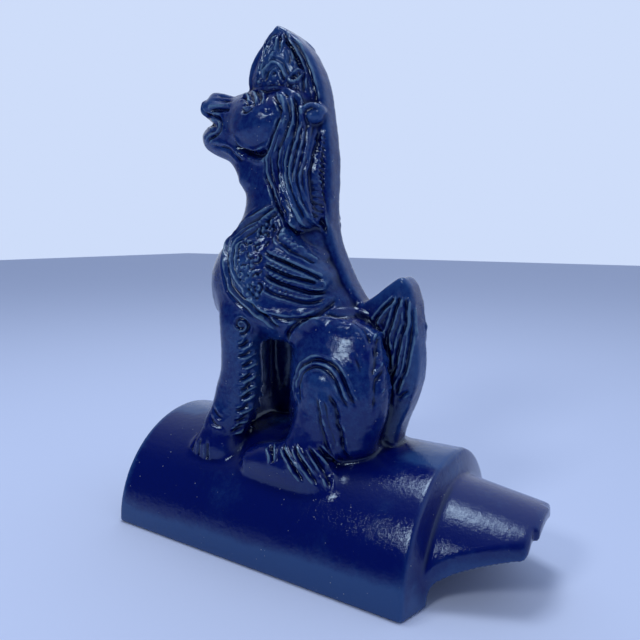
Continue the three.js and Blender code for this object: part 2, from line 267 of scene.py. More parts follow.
def between(first: Line, second: Line, *shares: float) -> list[Line]:
    """Draws lines between two guide lines.

    Args:
        first: The first guide.
        second: The second guide.
        shares: How far from the first guide each line lies, from 0 to 1.

    Returns:
        One line for each share.
    """
    a, b = evenly(first, GUIDE_POINTS), evenly(second, GUIDE_POINTS)
    return [tuple(map(tuple, a + (b - a) * share)) for share in shares]


def unevenness(points: np.ndarray, size: float, seed: int) -> np.ndarray:
    """Smooth random waves through the clay.

    Args:
        points: Where they are wanted, one point a row.
        size: About how far apart their crests lie.
        seed: Picks the waves.

    Returns:
        Numbers that are mostly between -1 and 1.
    """
    picker = np.random.default_rng(seed)
    total = np.zeros(len(points))
    for _ in range(WAVES):
        way = picker.normal(size=3)
        way *= picker.uniform(0.7, 1.5) * 2 * math.pi / (size * np.linalg.norm(way))
        total += np.sin(points @ way + picker.uniform(0, 2 * math.pi))
    return total / math.sqrt(WAVES)


def outline_distance(outline: np.ndarray, x: np.ndarray, z: np.ndarray) -> np.ndarray:
    """Distances in the side view to a closed outline, negative inside.

    Args:
        outline: The outline's corners in order, one a row.
        x: X of the points.
        z: Z of the points.

    Returns:
        The distances, in the shape of `x`.
    """
    nearest = np.full(x.shape, np.inf)
    inside = np.zeros(x.shape, bool)
    for (x0, z0), (x1, z1) in zip(outline, np.roll(outline, -1, axis=0)):
        ex, ez = x1 - x0, z1 - z0
        t = np.clip(((x - x0) * ex + (z - z0) * ez) / (ex * ex + ez * ez + 1e-9), 0, 1)
        nearest = np.minimum(nearest, np.hypot(x - x0 - t * ex, z - z0 - t * ez))
        if ez != 0:
            inside ^= ((z0 > z) != (z1 > z)) & (x < x0 + (z - z0) * ex / ez)
    return np.where(inside, -nearest, nearest)


# ------------------------------------------------------------------ forms of clay


class Form(ABC):
    """A lump of clay. Forms are laid on the near half, where Y is negative, and mirrored."""

    @abstractmethod
    def bounds(self) -> tuple[Row, Row]:
        """The lowest and highest corners of a box that holds the form."""

    @abstractmethod
    def distance(self, x: np.ndarray, y: np.ndarray, z: np.ndarray) -> np.ndarray:
        """Distances from points to the form's surface, negative inside.

        Args:
            x: X of the points.
            y: Y of the points.
            z: Z of the points.

        Returns:
            The distances, in the points' broadcast shape.
        """


@dataclass(frozen=True)
class Limb(Form):
    """A form swept along a smooth line, with domed ends.

    Each row is x, the distance from the middle plane, z, the half size in the side view, square to the
    line, and the half size along Y.
    """

    rows: Rows
    dome: float = 0.7
    spacing: float = 3.0

    def samples(self) -> np.ndarray:
        """Rows along the line with their sizes, on the near side."""
        samples = smooth_rows(self.rows, self.spacing, 3)
        samples[:, 1] *= -1
        return samples

    def bounds(self) -> tuple[Row, Row]:
        """The box round all the samples."""
        samples = self.samples()
        reach = samples[:, 3:5].max(1)[:, None]
        return tuple((samples[:, :3] - reach).min(0)), tuple((samples[:, :3] + reach).max(0))

    def distance(self, x: np.ndarray, y: np.ndarray, z: np.ndarray) -> np.ndarray:
        """See `Form.distance`.

        Args:
            x: X of the points.
            y: Y of the points.
            z: Z of the points.

        Returns:
            The distances.
        """
        best = None
        samples = self.samples()
        for start, end in zip(samples, samples[1:]):
            along = (end - start)[:3]
            length = np.linalg.norm(along)
            along = along / length
            wide = np.array([0.0, 1.0, 0.0]) - along * along[1]
            wide /= np.linalg.norm(wide)
            side = np.cross(wide, along)
            dx, dy, dz = x - start[0], y - start[1], z - start[2]
            way = dx * along[0] + dy * along[1] + dz * along[2]
            t = np.clip(way / length, 0, 1)
            across = start[3] + (end[3] - start[3]) * t
            thick = start[4] + (end[4] - start[4]) * t
            p = dx * side[0] + dy * side[1] + dz * side[2]
            q = dx * wide[0] + dy * wide[1] + dz * wide[2]
            over = way - t * length
            away = oval([p, q, over], [across, thick, self.dome * np.minimum(across, thick)])
            best = away if best is None else np.minimum(best, away)
        return best


def ball(x: float, y: float, z: float, across: float, thick: float, tall: float | None = None) -> Limb:
    """A short limb that serves as a rounded lump.

    Args:
        x: X of its middle.
        y: The distance of its middle from the middle plane.
        z: Z of its middle.
        across: Its half size along X.
        thick: Its half size along Y.
        tall: Its half size along Z, or None for the same as along X.

    Returns:
        The lump.
    """
    tall = across if tall is None else tall
    reach = max(0.05, tall - across)
    return Limb(((x, y, z - reach, across, thick), (x, y, z + reach, across, thick)), dome=1.0, spacing=50)


@dataclass(frozen=True)
class Stack(Form):
    """A form built of level sections: rows of height, front, back and half width.

    A section is an ellipse whose rear is pinched by `pinch` towards the narrow spine.
    """

    rows: Rows
    pinch: float = 0.34
    edge: float = 3.0

    def bounds(self) -> tuple[Row, Row]:
        """The box round all the sections."""
        rows = np.array(self.rows)
        low = (rows[:, 1].min(), -rows[:, 3].max(), rows[0, 0])
        return low, (rows[:, 2].max(), 0.0, rows[-1, 0])

    def distance(self, x: np.ndarray, y: np.ndarray, z: np.ndarray) -> np.ndarray:
        """See `Form.distance`.

        Args:
            x: X of the points.
            y: Y of the points.
            z: Z of the points.

        Returns:
            The distances.
        """
        front, back, half = (a.reshape(z.shape) for a in table_at(self.rows, z.ravel()))
        reach = (back - front) / 2
        off = x - (front + back) / 2
        width = half * (1 - self.pinch * np.clip(off / reach, 0, 1))
        away = oval([off, y], [reach, width])
        ends = np.maximum(self.rows[0][0] - z, z - self.rows[-1][0])
        return soft_max(away, ends + 0 * away, self.edge)


@dataclass(frozen=True)
class Plate(Form):
    """An upright plate in the middle plane, cut to a side outline.

    Its faces bulge by `swell` towards the middle, starting `swell_over` from the outline.
    """

    outline: Line
    half: float
    edge: float = 3.0
    swell: float = 0.0
    swell_over: float = 9.0

    def bounds(self) -> tuple[Row, Row]:
        """The box round the outline."""
        points = np.array(self.outline)
        low = (points[:, 0].min(), -self.half - self.swell, points[:, 1].min())
        return low, (points[:, 0].max(), 0.0, points[:, 1].max())

    def distance(self, x: np.ndarray, y: np.ndarray, z: np.ndarray) -> np.ndarray:
        """See `Form.distance`.

        Args:
            x: X of the points.
            y: Y of the points.
            z: Z of the points.

        Returns:
            The distances.
        """
        inside = outline_distance(np.array(self.outline), x + 0 * z, z + 0 * x)
        half = self.half + self.swell * ease(0, self.swell_over, -inside)
        return soft_max(inside, np.abs(y) - half, self.edge)


@dataclass(frozen=True)
class Block(Form):
    """A plain block between two corners, used to cut."""

    low: Row
    high: Row

    def bounds(self) -> tuple[Row, Row]:
        """Its two corners."""
        return self.low, self.high

    def distance(self, x: np.ndarray, y: np.ndarray, z: np.ndarray) -> np.ndarray:
        """See `Form.distance`.

        Args:
            x: X of the points.
            y: Y of the points.
            z: Z of the points.

        Returns:
            The distances.
        """
        sides = [np.maximum(a - v, v - b) for v, a, b in zip((x, y, z), self.low, self.high)]
        return np.maximum(np.maximum(sides[0], sides[1]), sides[2])


class Clay:
    """Clay on an even grid, as distances to its surface that are negative inside it."""

    def __init__(self, lines: list[np.ndarray], step: float, values: np.ndarray | None = None) -> None:
        """Clears a block of space.

        Args:
            lines: The grid's X, Y and Z values.
            step: The grid's step, in millimetres.
            values: The distances, or None for empty space.
        """
        self.lines = lines
        self.step = step
        self.low = np.array([line[0] for line in lines])
        shape = tuple(len(line) for line in lines)
        self.field = np.full(shape, EMPTY, np.float32) if values is None else values

    @classmethod
    def half_block(cls, place: Place, step: float, margin: float = 3.0) -> Clay:
        """Empty space for the near half of the piece.

        Args:
            place: The design's size.
            step: The grid's step.
            margin: Spare space round the design.

        Returns:
            The clay, whose last Y is 0.
        """
        deep = int(math.ceil((place.width / 2 + margin) / step))
        x = np.arange(-margin, place.length + margin + step, step)
        z = np.arange(-margin, place.height + margin + step, step)
        return cls([x, step * np.arange(-deep, 1), z], step)

    def mirrored(self) -> Clay:
        """The near half and its mirror as one clay."""
        y = self.lines[1]
        whole = np.concatenate([self.field, self.field[:, -2::-1, :]], axis=1)
        return Clay([self.lines[0], np.concatenate([y, -y[-2::-1]]), self.lines[2]], self.step, whole)

    def _window(self, form: Form, margin: float) -> tuple[tuple[slice, ...], list[np.ndarray]]:
        """Finds the part of the grid round a form.

        Args:
            form: The form.
            margin: Spare space round it.

        Returns:
            The grid's slices there, and their X, Y and Z values.
        """
        low, high = form.bounds()
        window, grids = [], []
        for axis, line in enumerate(self.lines):
            start, stop = np.searchsorted(line, [low[axis] - margin, high[axis] + margin])
            window.append(slice(int(start), int(stop)))
            shape = [1, 1, 1]
            shape[axis] = -1
            grids.append(line[window[-1]].reshape(shape))
        return tuple(window), grids

    def add(self, form: Form, blend: float = 4.0) -> None:
        """Lays a form on the clay.

        Args:
            form: The form.
            blend: How wide its seam is smoothed.
        """
        window, grids = self._window(form, blend + 2 * self.step)
        self.field[window] = soft_min(self.field[window], form.distance(*grids), blend)

    def cut(self, form: Form, blend: float = 1.0) -> None:
        """Cuts a form out of the clay.

        Args:
            form: The form.
            blend: How wide the cut's edge is rounded.
        """
        window, grids = self._window(form, blend + 2 * self.step)
        self.field[window] = soft_max(self.field[window], -form.distance(*grids), blend)

    def soften(self, passes: int) -> None:
        """Rounds all edges a little, as thick glaze does.

        Args:
            passes: How many times each cell is mixed with its neighbours.
        """
        for _ in range(passes):
            for axis in range(3):
                spare = [(1, 1) if a == axis else (0, 0) for a in range(3)]
                padded = np.pad(self.field, spare, mode="edge")
                before, after = [slice(None)] * 3, [slice(None)] * 3
                before[axis], after[axis] = slice(0, -2), slice(2, None)
                self.field = 0.5 * self.field + 0.25 * (padded[tuple(before)] + padded[tuple(after)])

    def read(self, points: np.ndarray) -> np.ndarray:
        """Reads the distances between the grid's points.

        Args:
            points: Where to read, one point a row.

        Returns:
            The distances.
        """
        at = np.clip((points - self.low) / self.step, 0, np.array(self.field.shape) - 1.001)
        cell = at.astype(np.int64)
        part = (at - cell).astype(np.float32)
        flat = self.field.ravel()
        strides = np.array([self.field.shape[1] * self.field.shape[2], self.field.shape[2], 1])
        first = cell @ strides
        total = np.zeros(len(points), np.float32)
        for corner in product((0, 1), repeat=3):
            weight = np.ones(len(points), np.float32)
            for axis, up in enumerate(corner):
                weight *= part[:, axis] if up else 1 - part[:, axis]
            total += weight * flat[first + int(np.dot(corner, strides))]
        return total

    def slope(self, points: np.ndarray) -> np.ndarray:
        """How the distance rises at each point.

        Args:
            points: The points, one a row.

        Returns:
            The slope along X, Y and Z, one row for each point.
        """
        reach = 0.7 * self.step
        rise = np.empty_like(points)
        for axis in range(3):
            shift = np.zeros(3)
            shift[axis] = reach
            rise[:, axis] = (self.read(points + shift) - self.read(points - shift)) / (2 * reach)
        return rise

    def settle(self, points: np.ndarray, times: int = 2) -> np.ndarray:
        """Moves points onto the surface.

        Args:
            points: The points, one a row.
            times: How often they are moved.

        Returns:
            The moved points.
        """
        for _ in range(times):
            rise = self.slope(points)
            steep = np.maximum((rise**2).sum(1), 0.2)
            move = np.clip(self.read(points) / steep, -0.5, 0.5)
            points = points - rise * move[:, None]
        return points

    def skin(self) -> tuple[np.ndarray, np.ndarray]:
        """Draws the skin: one point in each cell that the surface crosses, and faces between them.

        Returns:
            The points, and the four-sided faces, which point out.
        """
        values = self.field
        inside = values < 0
        shape = np.array(values.shape) - 1
        count = np.zeros(shape, np.uint8)
        for corner in product((0, 1), repeat=3):
            count += inside[tuple(slice(c, c + n) for c, n in zip(corner, shape))]
        cells = np.argwhere((count > 0) & (count < 8))
        number = np.full(tuple(shape), -1, np.int64)
        number[tuple(cells.T)] = np.arange(len(cells))
        total = np.zeros((len(cells), 3))
        hits = np.zeros(len(cells))
        unit = np.eye(3, dtype=int)
        faces = []
        for axis in range(3):
            first, second = unit[(axis + 1) % 3], unit[(axis + 2) % 3]
            for corner in (0 * first, first, second, first + second):
                a = values[tuple((cells + corner).T)]
                b = values[tuple((cells + corner + unit[axis]).T)]
                cross = (a < 0) != (b < 0)
                share = np.where(cross, a / np.where(cross, a - b, 1), 0)
                total += np.where(cross[:, None], corner + share[:, None] * unit[axis], 0)
                hits += cross
            size = np.array(values.shape) - unit[axis]
            start = inside[tuple(slice(0, n) for n in size)]
            stop = inside[tuple(slice(o, o + n) for o, n in zip(unit[axis], size))]
            edges = np.argwhere(start != stop)
            ring = [number[tuple((edges - shift).T)] for shift in (first + second, second, 0 * first, first)]
            quad = np.stack(ring, 1)
            outward = start[tuple(edges.T)][:, None]
            faces.append(np.where(outward, quad, quad[:, ::-1]))
        points = self.low + (cells + total / hits[:, None]) * self.step
        return self.settle(points, 3), np.vstack(faces)


def split_faces(points: np.ndarray, faces: np.ndarray) -> tuple[np.ndarray, np.ndarray]:
    """Splits each four-sided face into four.

    Args:
        points: The points, one a row.
        faces: The faces, one a row.

    Returns:
        The points with the new ones, and the new faces.
    """
    sides = np.stack([faces, np.roll(faces, -1, axis=1)], axis=2).reshape(-1, 2)
    sides.sort(axis=1)
    keys = sides[:, 0] * len(points) + sides[:, 1]
    _, first, place = np.unique(keys, return_index=True, return_inverse=True)
    middles = points[sides[first]].mean(1)
    centres = points[faces].mean(1)
    side = len(points) + place.reshape(-1, 4)
    centre = len(points) + len(middles) + np.arange(len(faces))
    parts = [np.stack([faces[:, i], side[:, i], centre, side[:, i - 1]], 1) for i in range(4)]
    return np.vstack([points, middles, centres]), np.vstack(parts)


# ------------------------------------------------------------------ carving


class Cut(Enum):
    """How a stroke works the clay."""

    GROOVE = "a pressed line with soft shoulders"
    ROLL = "a raised, rounded line"
    LIP = "an edge whose left side stands over its right side"


REACHES = {Cut.GROOVE: 2.4, Cut.ROLL: 2.4, Cut.LIP: 4.0}  # how far from its line a cut works, in its widths


@dataclass(frozen=True)
class Stroke:
    """One line of carving over the side view, on both flanks.

    Attributes:
        line: Side-view points that it passes through, in order.
        width: Half the width of what it changes, in millimetres.
        height: How far it lifts or presses the clay.
        cut: How it works the clay.
        taper: The share of its length over which each end fades.
        beyond: It works only clay further than this from the middle plane.
    """

    line: Line
    width: float
    height: float
    cut: Cut = Cut.GROOVE
    taper: float = 0.18
    beyond: float = 0.0

    def beside(self, offset: float, **changes: Any) -> Stroke:
        """The same stroke moved sideways, to its left where `offset` is positive.

        Args:
            offset: How far it is moved.
            changes: Fields of the new stroke that differ.

        Returns:
            The new stroke.
        """
        points = np.array(self.line)
        along = np.gradient(points, axis=0)
        along /= np.linalg.norm(along, axis=1, keepdims=True)
        moved = points + offset * np.stack([-along[:, 1], along[:, 0]], 1)
        return replace(self, line=tuple(map(tuple, moved)), **changes)


@dataclass(frozen=True)
class Hand:
    """The carver's hand: how far it strays, how unevenly it presses, and how rough it leaves the clay.

    Attributes:
        stray: How far a line wanders, in millimetres, over long and short distances.
        stray_over: Those distances.
        press: The share by which a stroke's depth varies.
        press_over: The distance over which it varies.
        rough: The height of the clay's unevenness, over long and short distances.
        rough_over: Those distances.
        beast_from: The heights between which the smooth tile gives way to the rougher beast.
        tile_share: The tile's roughness as a share of the beast's.
    """

    stray: tuple[float, float] = (0.28, 0.07)
    stray_over: tuple[float, float] = (15.0, 4.5)
    press: float = 0.25
    press_over: float = 7.0
    rough: tuple[float, float] = (0.07, 0.03)
    rough_over: tuple[float, float] = (9.0, 3.2)
    beast_from: tuple[float, float] = (46.0, 56.0)
    tile_share: float = 0.15

    def wander(self, points: np.ndarray, seed: int) -> np.ndarray:
        """How far a line is off its course at each point.

        Args:
            points: The points, one a row.
            seed: Picks the waves.

        Returns:
            The distances.
        """
        pairs = enumerate(zip(self.stray, self.stray_over))
        return sum(far * unevenness(points, over, seed + i) for i, (far, over) in pairs)

    def roughness(self, points: np.ndarray) -> np.ndarray:
        """How far the uncarved clay stands up or down at each point.

        Args:
            points: The points, one a row.

        Returns:
            The heights.
        """
        pairs = enumerate(zip(self.rough, self.rough_over))
        height = sum(tall * unevenness(points, over, ROUGH_SEED + i) for i, (tall, over) in pairs)
        share = ease(*self.beast_from, points[:, 2])
        return height * (self.tile_share + (1 - self.tile_share) * share)


class Carving:
    """All strokes of the piece, pressed into its skin."""

    def __init__(self, points: np.ndarray, outward: np.ndarray, hand: Hand) -> None:
        """Takes the skin to carve.

        Args:
            points: The skin's points, one a row.
            outward: The skin's outward direction at each, as unit vectors.
            hand: The carver's hand.
        """
        self.points = points + np.stack(
            [hand.wander(points, ACROSS_SEED), np.zeros(len(points)), hand.wander(points, UPRIGHT_SEED)],
            axis=1,
        )
        self.height = np.zeros(len(points))
        self.pressure = 1 + hand.press * unevenness(points, hand.press_over, PRESS_SEED)
        self.facing = ease(*SLOPES, np.abs(outward[:, 1]))
        self.order = np.argsort(self.points[:, 2])
        self.heights = self.points[self.order, 2]

    def _near(self, line: np.ndarray, reach: float, stroke: Stroke) -> np.ndarray:
        """Picks the points that a stroke can change.

        Args:
            line: The stroke's line.
            reach: How far from the line it works.
            stroke: The stroke.

        Returns:
            The points' numbers.
        """
        start, stop = np.searchsorted(self.heights, [line[:, 1].min() - reach, line[:, 1].max() + reach])
        picked = self.order[start:stop]
        x = self.points[picked, 0]
        close = (x > line[:, 0].min() - reach) & (x < line[:, 0].max() + reach)
        close &= self.facing[picked] > 0
        y = self.points[picked, 1]
        close &= np.abs(y) > stroke.beyond
        return picked[close]

    def press(self, stroke: Stroke) -> None:
        """Works one stroke into the skin.

        Args:
            stroke: The stroke.
        """
        line = smooth_rows(stroke.line, 1.2, 2)
        reach = stroke.width * REACHES[stroke.cut]
        near = self._near(line, reach, stroke)
        if not len(near):
            return
        x, z = self.points[near, 0], self.points[near, 2]
        steps = np.hypot(*np.diff(line, axis=0).T)
        start = np.concatenate([[0], np.cumsum(steps)])
        best = np.full(len(near), np.inf)
        left = np.ones(len(near))
        share = np.zeros(len(near))
        for i, (a, b) in enumerate(zip(line, line[1:])):
            ex, ez = (b - a) / steps[i]
            dx, dz = x - a[0], z - a[1]
            way = np.clip(dx * ex + dz * ez, 0, steps[i])
            away = np.hypot(dx - way * ex, dz - way * ez)
            closer = away < best
            best = np.where(closer, away, best)
            left = np.where(closer, np.sign(ex * dz - ez * dx), left)
            share = np.where(closer, (start[i] + way) / start[-1], share)
        fade = ease(0, max(stroke.taper, 1e-3), np.minimum(share, 1 - share))
        shape = self._profile(stroke, best, left)
        self.height[near] += stroke.height * shape * fade * self.facing[near] * self.pressure[near]

    @staticmethod
    def _profile(stroke: Stroke, away: np.ndarray, left: np.ndarray) -> np.ndarray:
        """A stroke's section, as shares of its height.

        Args:
            stroke: The stroke.
            away: The points' distances from its line.
            left: 1 for a point to its left and -1 for a point to its right.

        Returns:
            How far each point is lifted, or pressed where it is negative.
        """
        u = away / stroke.width
        if stroke.cut is Cut.ROLL:
            return np.clip(1 - u * u, 0, 1) ** 2
        if stroke.cut is Cut.GROOVE:
            shoulders = SHOULDER * np.exp(-(((u - SHOULDER_AT) / SHOULDER_WIDTH) ** 2))
            return shoulders - np.exp(-((u / BED_WIDTH) ** 2))
        signed = u * left
        over = 0.5 + 0.5 * np.tanh(LIP_RISE * signed)
        fold = LIP_FOLD * np.exp(-(((signed + FOLD_AT) / FOLD_AT) ** 2))
        return over * np.exp(-((signed / LIP_RUN) ** 2)) - fold


class Part(ABC):
    """A sub-assembly of the one fired piece."""

    @abstractmethod
    def forms(self) -> list[tuple[Form, float]]:
        """The part's lumps of clay in order, each with how wide its seam is smoothed."""

    def lay(self, clay: Clay) -> None:
        """Lays the part's clay on the near half.

        Args:
            clay: The clay to lay it on.
        """
        for form, seam in self.forms():
            clay.add(form, seam)

    def strokes(self) -> list[Stroke]:
        """The part's carving."""
        return []

    def trim(self, clay: Clay) -> None:
        """Cuts or adds what differs between the two flanks, once the clay is whole.

        Args:
            clay: The whole clay.
        """


# ------------------------------------------------------------------ the tile


@dataclass(frozen=True)
class Barrel(Form):
    """The half-round barrel: a shell whose rear face slopes in to the tongue."""

    length: float = 160.7
    radius: float = 52.0
    swell: float = 0.8
    bore: float = 41.0
    bore_end: float = 35.9
    slope: tuple[float, float] = (3.1, 11.3)
    edge: float = 1.2

    def bounds(self) -> tuple[Row, Row]:
        """The box round the barrel."""
        reach = self.radius + self.swell
        return (0.0, -reach, 0.0), (self.length + self.slope[0], reach, reach)

    def distance(self, x: np.ndarray, y: np.ndarray, z: np.ndarray) -> np.ndarray:
        """See `Form.distance`.

        Args:
            x: X of the points.
            y: Y of the points.
            z: Z of the points.

        Returns:
            The distances.
        """
        share = x / self.length
        r = np.hypot(y, z)
        outside = r - self.radius - self.swell * share
        hollow = self.bore + (self.bore_end - self.bore) * share - r
        shell = soft_max(outside, hollow + 0 * outside, self.edge)
        back, drop = self.slope
        steep = math.hypot(back, drop)
        rear = ((x - self.length) * drop + (r - self.radius - self.swell) * back) / steep
        ends = soft_max(rear, -x + 0 * rear, self.edge)
        return soft_max(soft_max(shell, ends, self.edge), -z + 0 * shell, self.edge * 0.7)


@dataclass(frozen=True)
class Tongue(Form):
    """The tapering tongue, whose lower edges are cut away in a rising hollow curve.

    Attributes:
        rows: X, then the heights of the outer and the inner lower edge, as angles in degrees.
    """

    start: float = 156.0
    root: float = 163.8
    end: float = 202.0
    root_radius: float = 41.5
    tip_radius: float = 36.0
    wall: float = 5.6
    edge: float = 1.3
    rows: Rows = (
        (156, 12, 2),
        (163.8, 17, 7),
        (168, 27.5, 14.5),
        (174, 35, 22),
        (182, 41.5, 30),
        (191, 49, 38),
        (198.5, 56, 44),
        (203, 68, 60),
    )

    def bounds(self) -> tuple[Row, Row]:
        """The box round the tongue."""
        return (self.start, -self.root_radius, 0.0), (self.end, self.root_radius, self.root_radius)

    def distance(self, x: np.ndarray, y: np.ndarray, z: np.ndarray) -> np.ndarray:
        """See `Form.distance`.

        Args:
            x: X of the points.
            y: Y of the points.
            z: Z of the points.

        Returns:
            The distances.
        """
        r = np.hypot(y, z)
        share = (x - self.root) / (self.end - self.root)
        outer = self.root_radius + (self.tip_radius - self.root_radius) * share
        shell = soft_max(r - outer, outer - self.wall - r, self.edge)
        rows = np.array(self.rows)
        outer_edge = np.interp(x, rows[:, 0], rows[:, 1])
        inner_edge = np.interp(x, rows[:, 0], rows[:, 2])
        through = np.clip((r - outer + self.wall) / self.wall, 0, 1)
        edge = np.radians(inner_edge + (outer_edge - inner_edge) * through)
        rise = np.radians(np.gradient(outer_edge.ravel(), x.ravel())).reshape(x.shape) * outer
        low = (edge - np.arctan2(z, np.abs(y))) * r / np.sqrt(1 + rise**2)
        ends = np.maximum(x - self.end, self.start - x)
        return soft_max(soft_max(shell, low, self.edge), ends + 0 * shell, self.edge)


@dataclass(frozen=True)
class RidgeTile(Part):
    """The half-round tile with its stepped shoulder and its tongue."""

    barrel: Barrel = Barrel()
    tongue: Tongue = Tongue()
    root_fillet: float = 1.6
    corners: tuple[Block, ...] = (
        Block((199.8, -60.0, 0.0), (210.0, -13.6, 40.0)),
        Block((199.8, 6.0, 0.0), (210.0, 60.0, 40.0)),
    )

    def forms(self) -> list[tuple[Form, float]]:
        """The barrel and the tongue."""
        return [(self.barrel, 0.0), (self.tongue, self.root_fillet)]

    def trim(self, clay: Clay) -> None:
        """Breaks back the corners of the tip.

        Args:
            clay: The whole clay.
        """
        for corner in self.corners:
            clay.cut(corner, 1.0)


# ------------------------------------------------------------------ the beast


@dataclass(frozen=True)
class Trunk(Part):
    """Breast, belly and neck, with the rolls of skin round the collar."""

    body: Stack = Stack(
        (
            (98, 44, 122, 18),
            (108, 31, 121, 26),
            (116, 28, 116, 28),
            (126, 28, 108, 28.5),
            (135, 31, 103, 27.5),
            (142, 35.5, 100, 24.5),
            (150, 42, 98, 20),
            (158, 46.5, 97.5, 16.5),
            (166, 48, 97.5, 14.5),
            (176, 47.5, 98.5, 14),
            (186, 50, 98.5, 14.5),
            (196, 55, 97, 15),
            (205, 58, 95, 14.5),
            (212, 61, 92, 12.5),
            (217, 65, 88, 9),
        )
    )
    collar: tuple[Line, ...] = (
        ((73.8, 163.2), (67.6, 159.6), (61.5, 156.7), (54.7, 152.9), (48.5, 148.2), (47.2, 143.4),
         (50.1, 138.4), (52.2, 133.7), (53.9, 128.9), (57, 123.6), (62.5, 119.1), (68.3, 114.7),
         (72.9, 110.9), (77.5, 107.7), (81.6, 102.8)),
        ((76.7, 161.5), (72, 156.9), (65.6, 152.2), (60.4, 149.5), (56.1, 145.3), (55.4, 140.6),
         (56.7, 135.2), (60, 129.2), (65.4, 123.5), (70.1, 119), (73.6, 116.4)),
    )
    inner: Line = ((61.8, 149.5), (58.8, 145.4), (58.8, 140.0), (59.8, 134.6), (62.9, 129.4), (67.4, 124.2))

    def forms(self) -> list[tuple[Form, float]]:
        """The one tapering body."""
        return [(self.body, 0.0)]

    def strokes(self) -> list[Stroke]:
        """Rolls along the collar, with grooves between them."""
        outer, middle = (Stroke(line, 1.5, 0.95, Cut.ROLL, 0.06) for line in self.collar)
        inner = Stroke(self.inner, 1.1, 0.6, Cut.ROLL, 0.2)
        return [
            outer,
            middle,
            inner,
            outer.beside(2.0, width=1.2, height=1.1, cut=Cut.GROOVE),
            outer.beside(3.6, width=1.0, height=0.6, cut=Cut.ROLL),
            outer.beside(-2.0, width=1.2, height=0.6, cut=Cut.GROOVE, taper=0.2),
            middle.beside(1.7, width=1.0, height=0.9, cut=Cut.GROOVE),
            middle.beside(-1.7, width=0.9, height=0.5, cut=Cut.GROOVE),
            inner.beside(1.4, width=0.9, height=0.6, cut=Cut.GROOVE),
        ]


@dataclass(frozen=True)
class Foreleg(Part):
    """A straight foreleg with its paw, the web between the legs, and the carving down its rear edge."""

    leg: Limb = Limb(
        (
            (58, 14, 120, 14, 11),
            (57.5, 19, 107, 12.5, 9.8),
            (57, 19.5, 94, 11, 9.2),
            (57, 19.5, 81, 11.5, 9.2),
            (55, 20.5, 69, 12.5, 9.2),
            (52, 22, 59, 11.5, 9.6),
            (48, 24.5, 50, 11, 10),
            (46, 26.5, 43, 10.5, 9),
        )
    )
    paw: Limb = Limb(((36, 28, 39.5, 4.5, 5.5), (43, 27.5, 43, 7.5, 7.5), (55, 27, 43, 7, 7.5)))
    web: Limb = Limb(
        (
            (50, 0, 114, 9, 18),
            (50, 0, 94, 4.6, 16),
            (50, 0, 74, 4.6, 16),
            (46, 0, 60, 5.4, 17),
            (43, 0, 46, 8, 19),
        )
    )
    panel: Block = Block((46.0, -17.0, 44.0), (54.6, 1.0, 112.0))
    curl_centre: tuple[float, float] = (63.1, 105.6)
    curl_radius: float = 4.3
    curl_closing: float = 0.25
    curl_turns: tuple[float, float] = (-0.6, 1.9)
    tufts: Line = (
        (64.2, 97.6), (64.4, 92.4), (64.6, 87), (64.9, 81.2), (64.8, 76.2), (64.4, 71.2), (63.6, 65.8),
        (62.2, 60.2), (60.4, 55.2),
    )
    folds: tuple[Line, ...] = (
        ((45.8, 63.4), (50.2, 60.4), (55.4, 58.8)),
        ((44.6, 59.2), (50.8, 56), (56.4, 55.4)),
    )
    toes: tuple[Line, ...] = (
        ((37.8, 47.4), (36, 43.6), (35.4, 39.6)),
        ((42.6, 47.6), (41.6, 43.2), (41.4, 38.6)),
        ((47.6, 47.2), (47.4, 42.6), (47.6, 37.6)),
    )

    def forms(self) -> list[tuple[Form, float]]:
        """The web, its panel, the leg and the paw."""
        return [(self.web, 3.0), (self.panel, 3.0), (self.leg, 5.0), (self.paw, 4.0)]

    def strokes(self) -> list[Stroke]:
        """The elbow's curl, the slanted tufts below it, folds over the paw, and toes."""
        turns = math.pi * np.linspace(*self.curl_turns, GUIDE_POINTS)
        radii = self.curl_radius * np.linspace(1.0, self.curl_closing, GUIDE_POINTS)
        spiral = turned(self.curl_centre, radii, turns)
        cuts = [
            Stroke(spiral, 1.0, 1.0, taper=0.08, beyond=17),
            Stroke(spiral, 1.1, 0.7, Cut.ROLL, taper=0.08, beyond=17).beside(1.1),
        ]
        for i, (px, pz) in enumerate(self.tufts):
            reach = 1 + 0.25 * math.sin(2.3 * i)
            offsets = ((-3.4 * reach, -2.4), (-1.2, -1.9), (0.8, -0.4), (2.2, 2.6))
            tick = tuple((px + dx, pz + dz) for dx, dz in offsets)
            comma = Stroke(tick, 1.15, 1.15, taper=0.35, beyond=17)
            cuts += [comma, comma.beside(-1.6, width=1.0, height=0.7, cut=Cut.ROLL)]
            cuts.append(comma.beside(1.5, width=0.8, height=0.35, cut=Cut.ROLL))
        cuts += [Stroke(line, 1.3, 0.7, taper=0.35, beyond=14) for line in self.folds]
        cuts += [Stroke(line, 1.2, 0.9, taper=0.2, beyond=14) for line in self.toes]
        return cuts


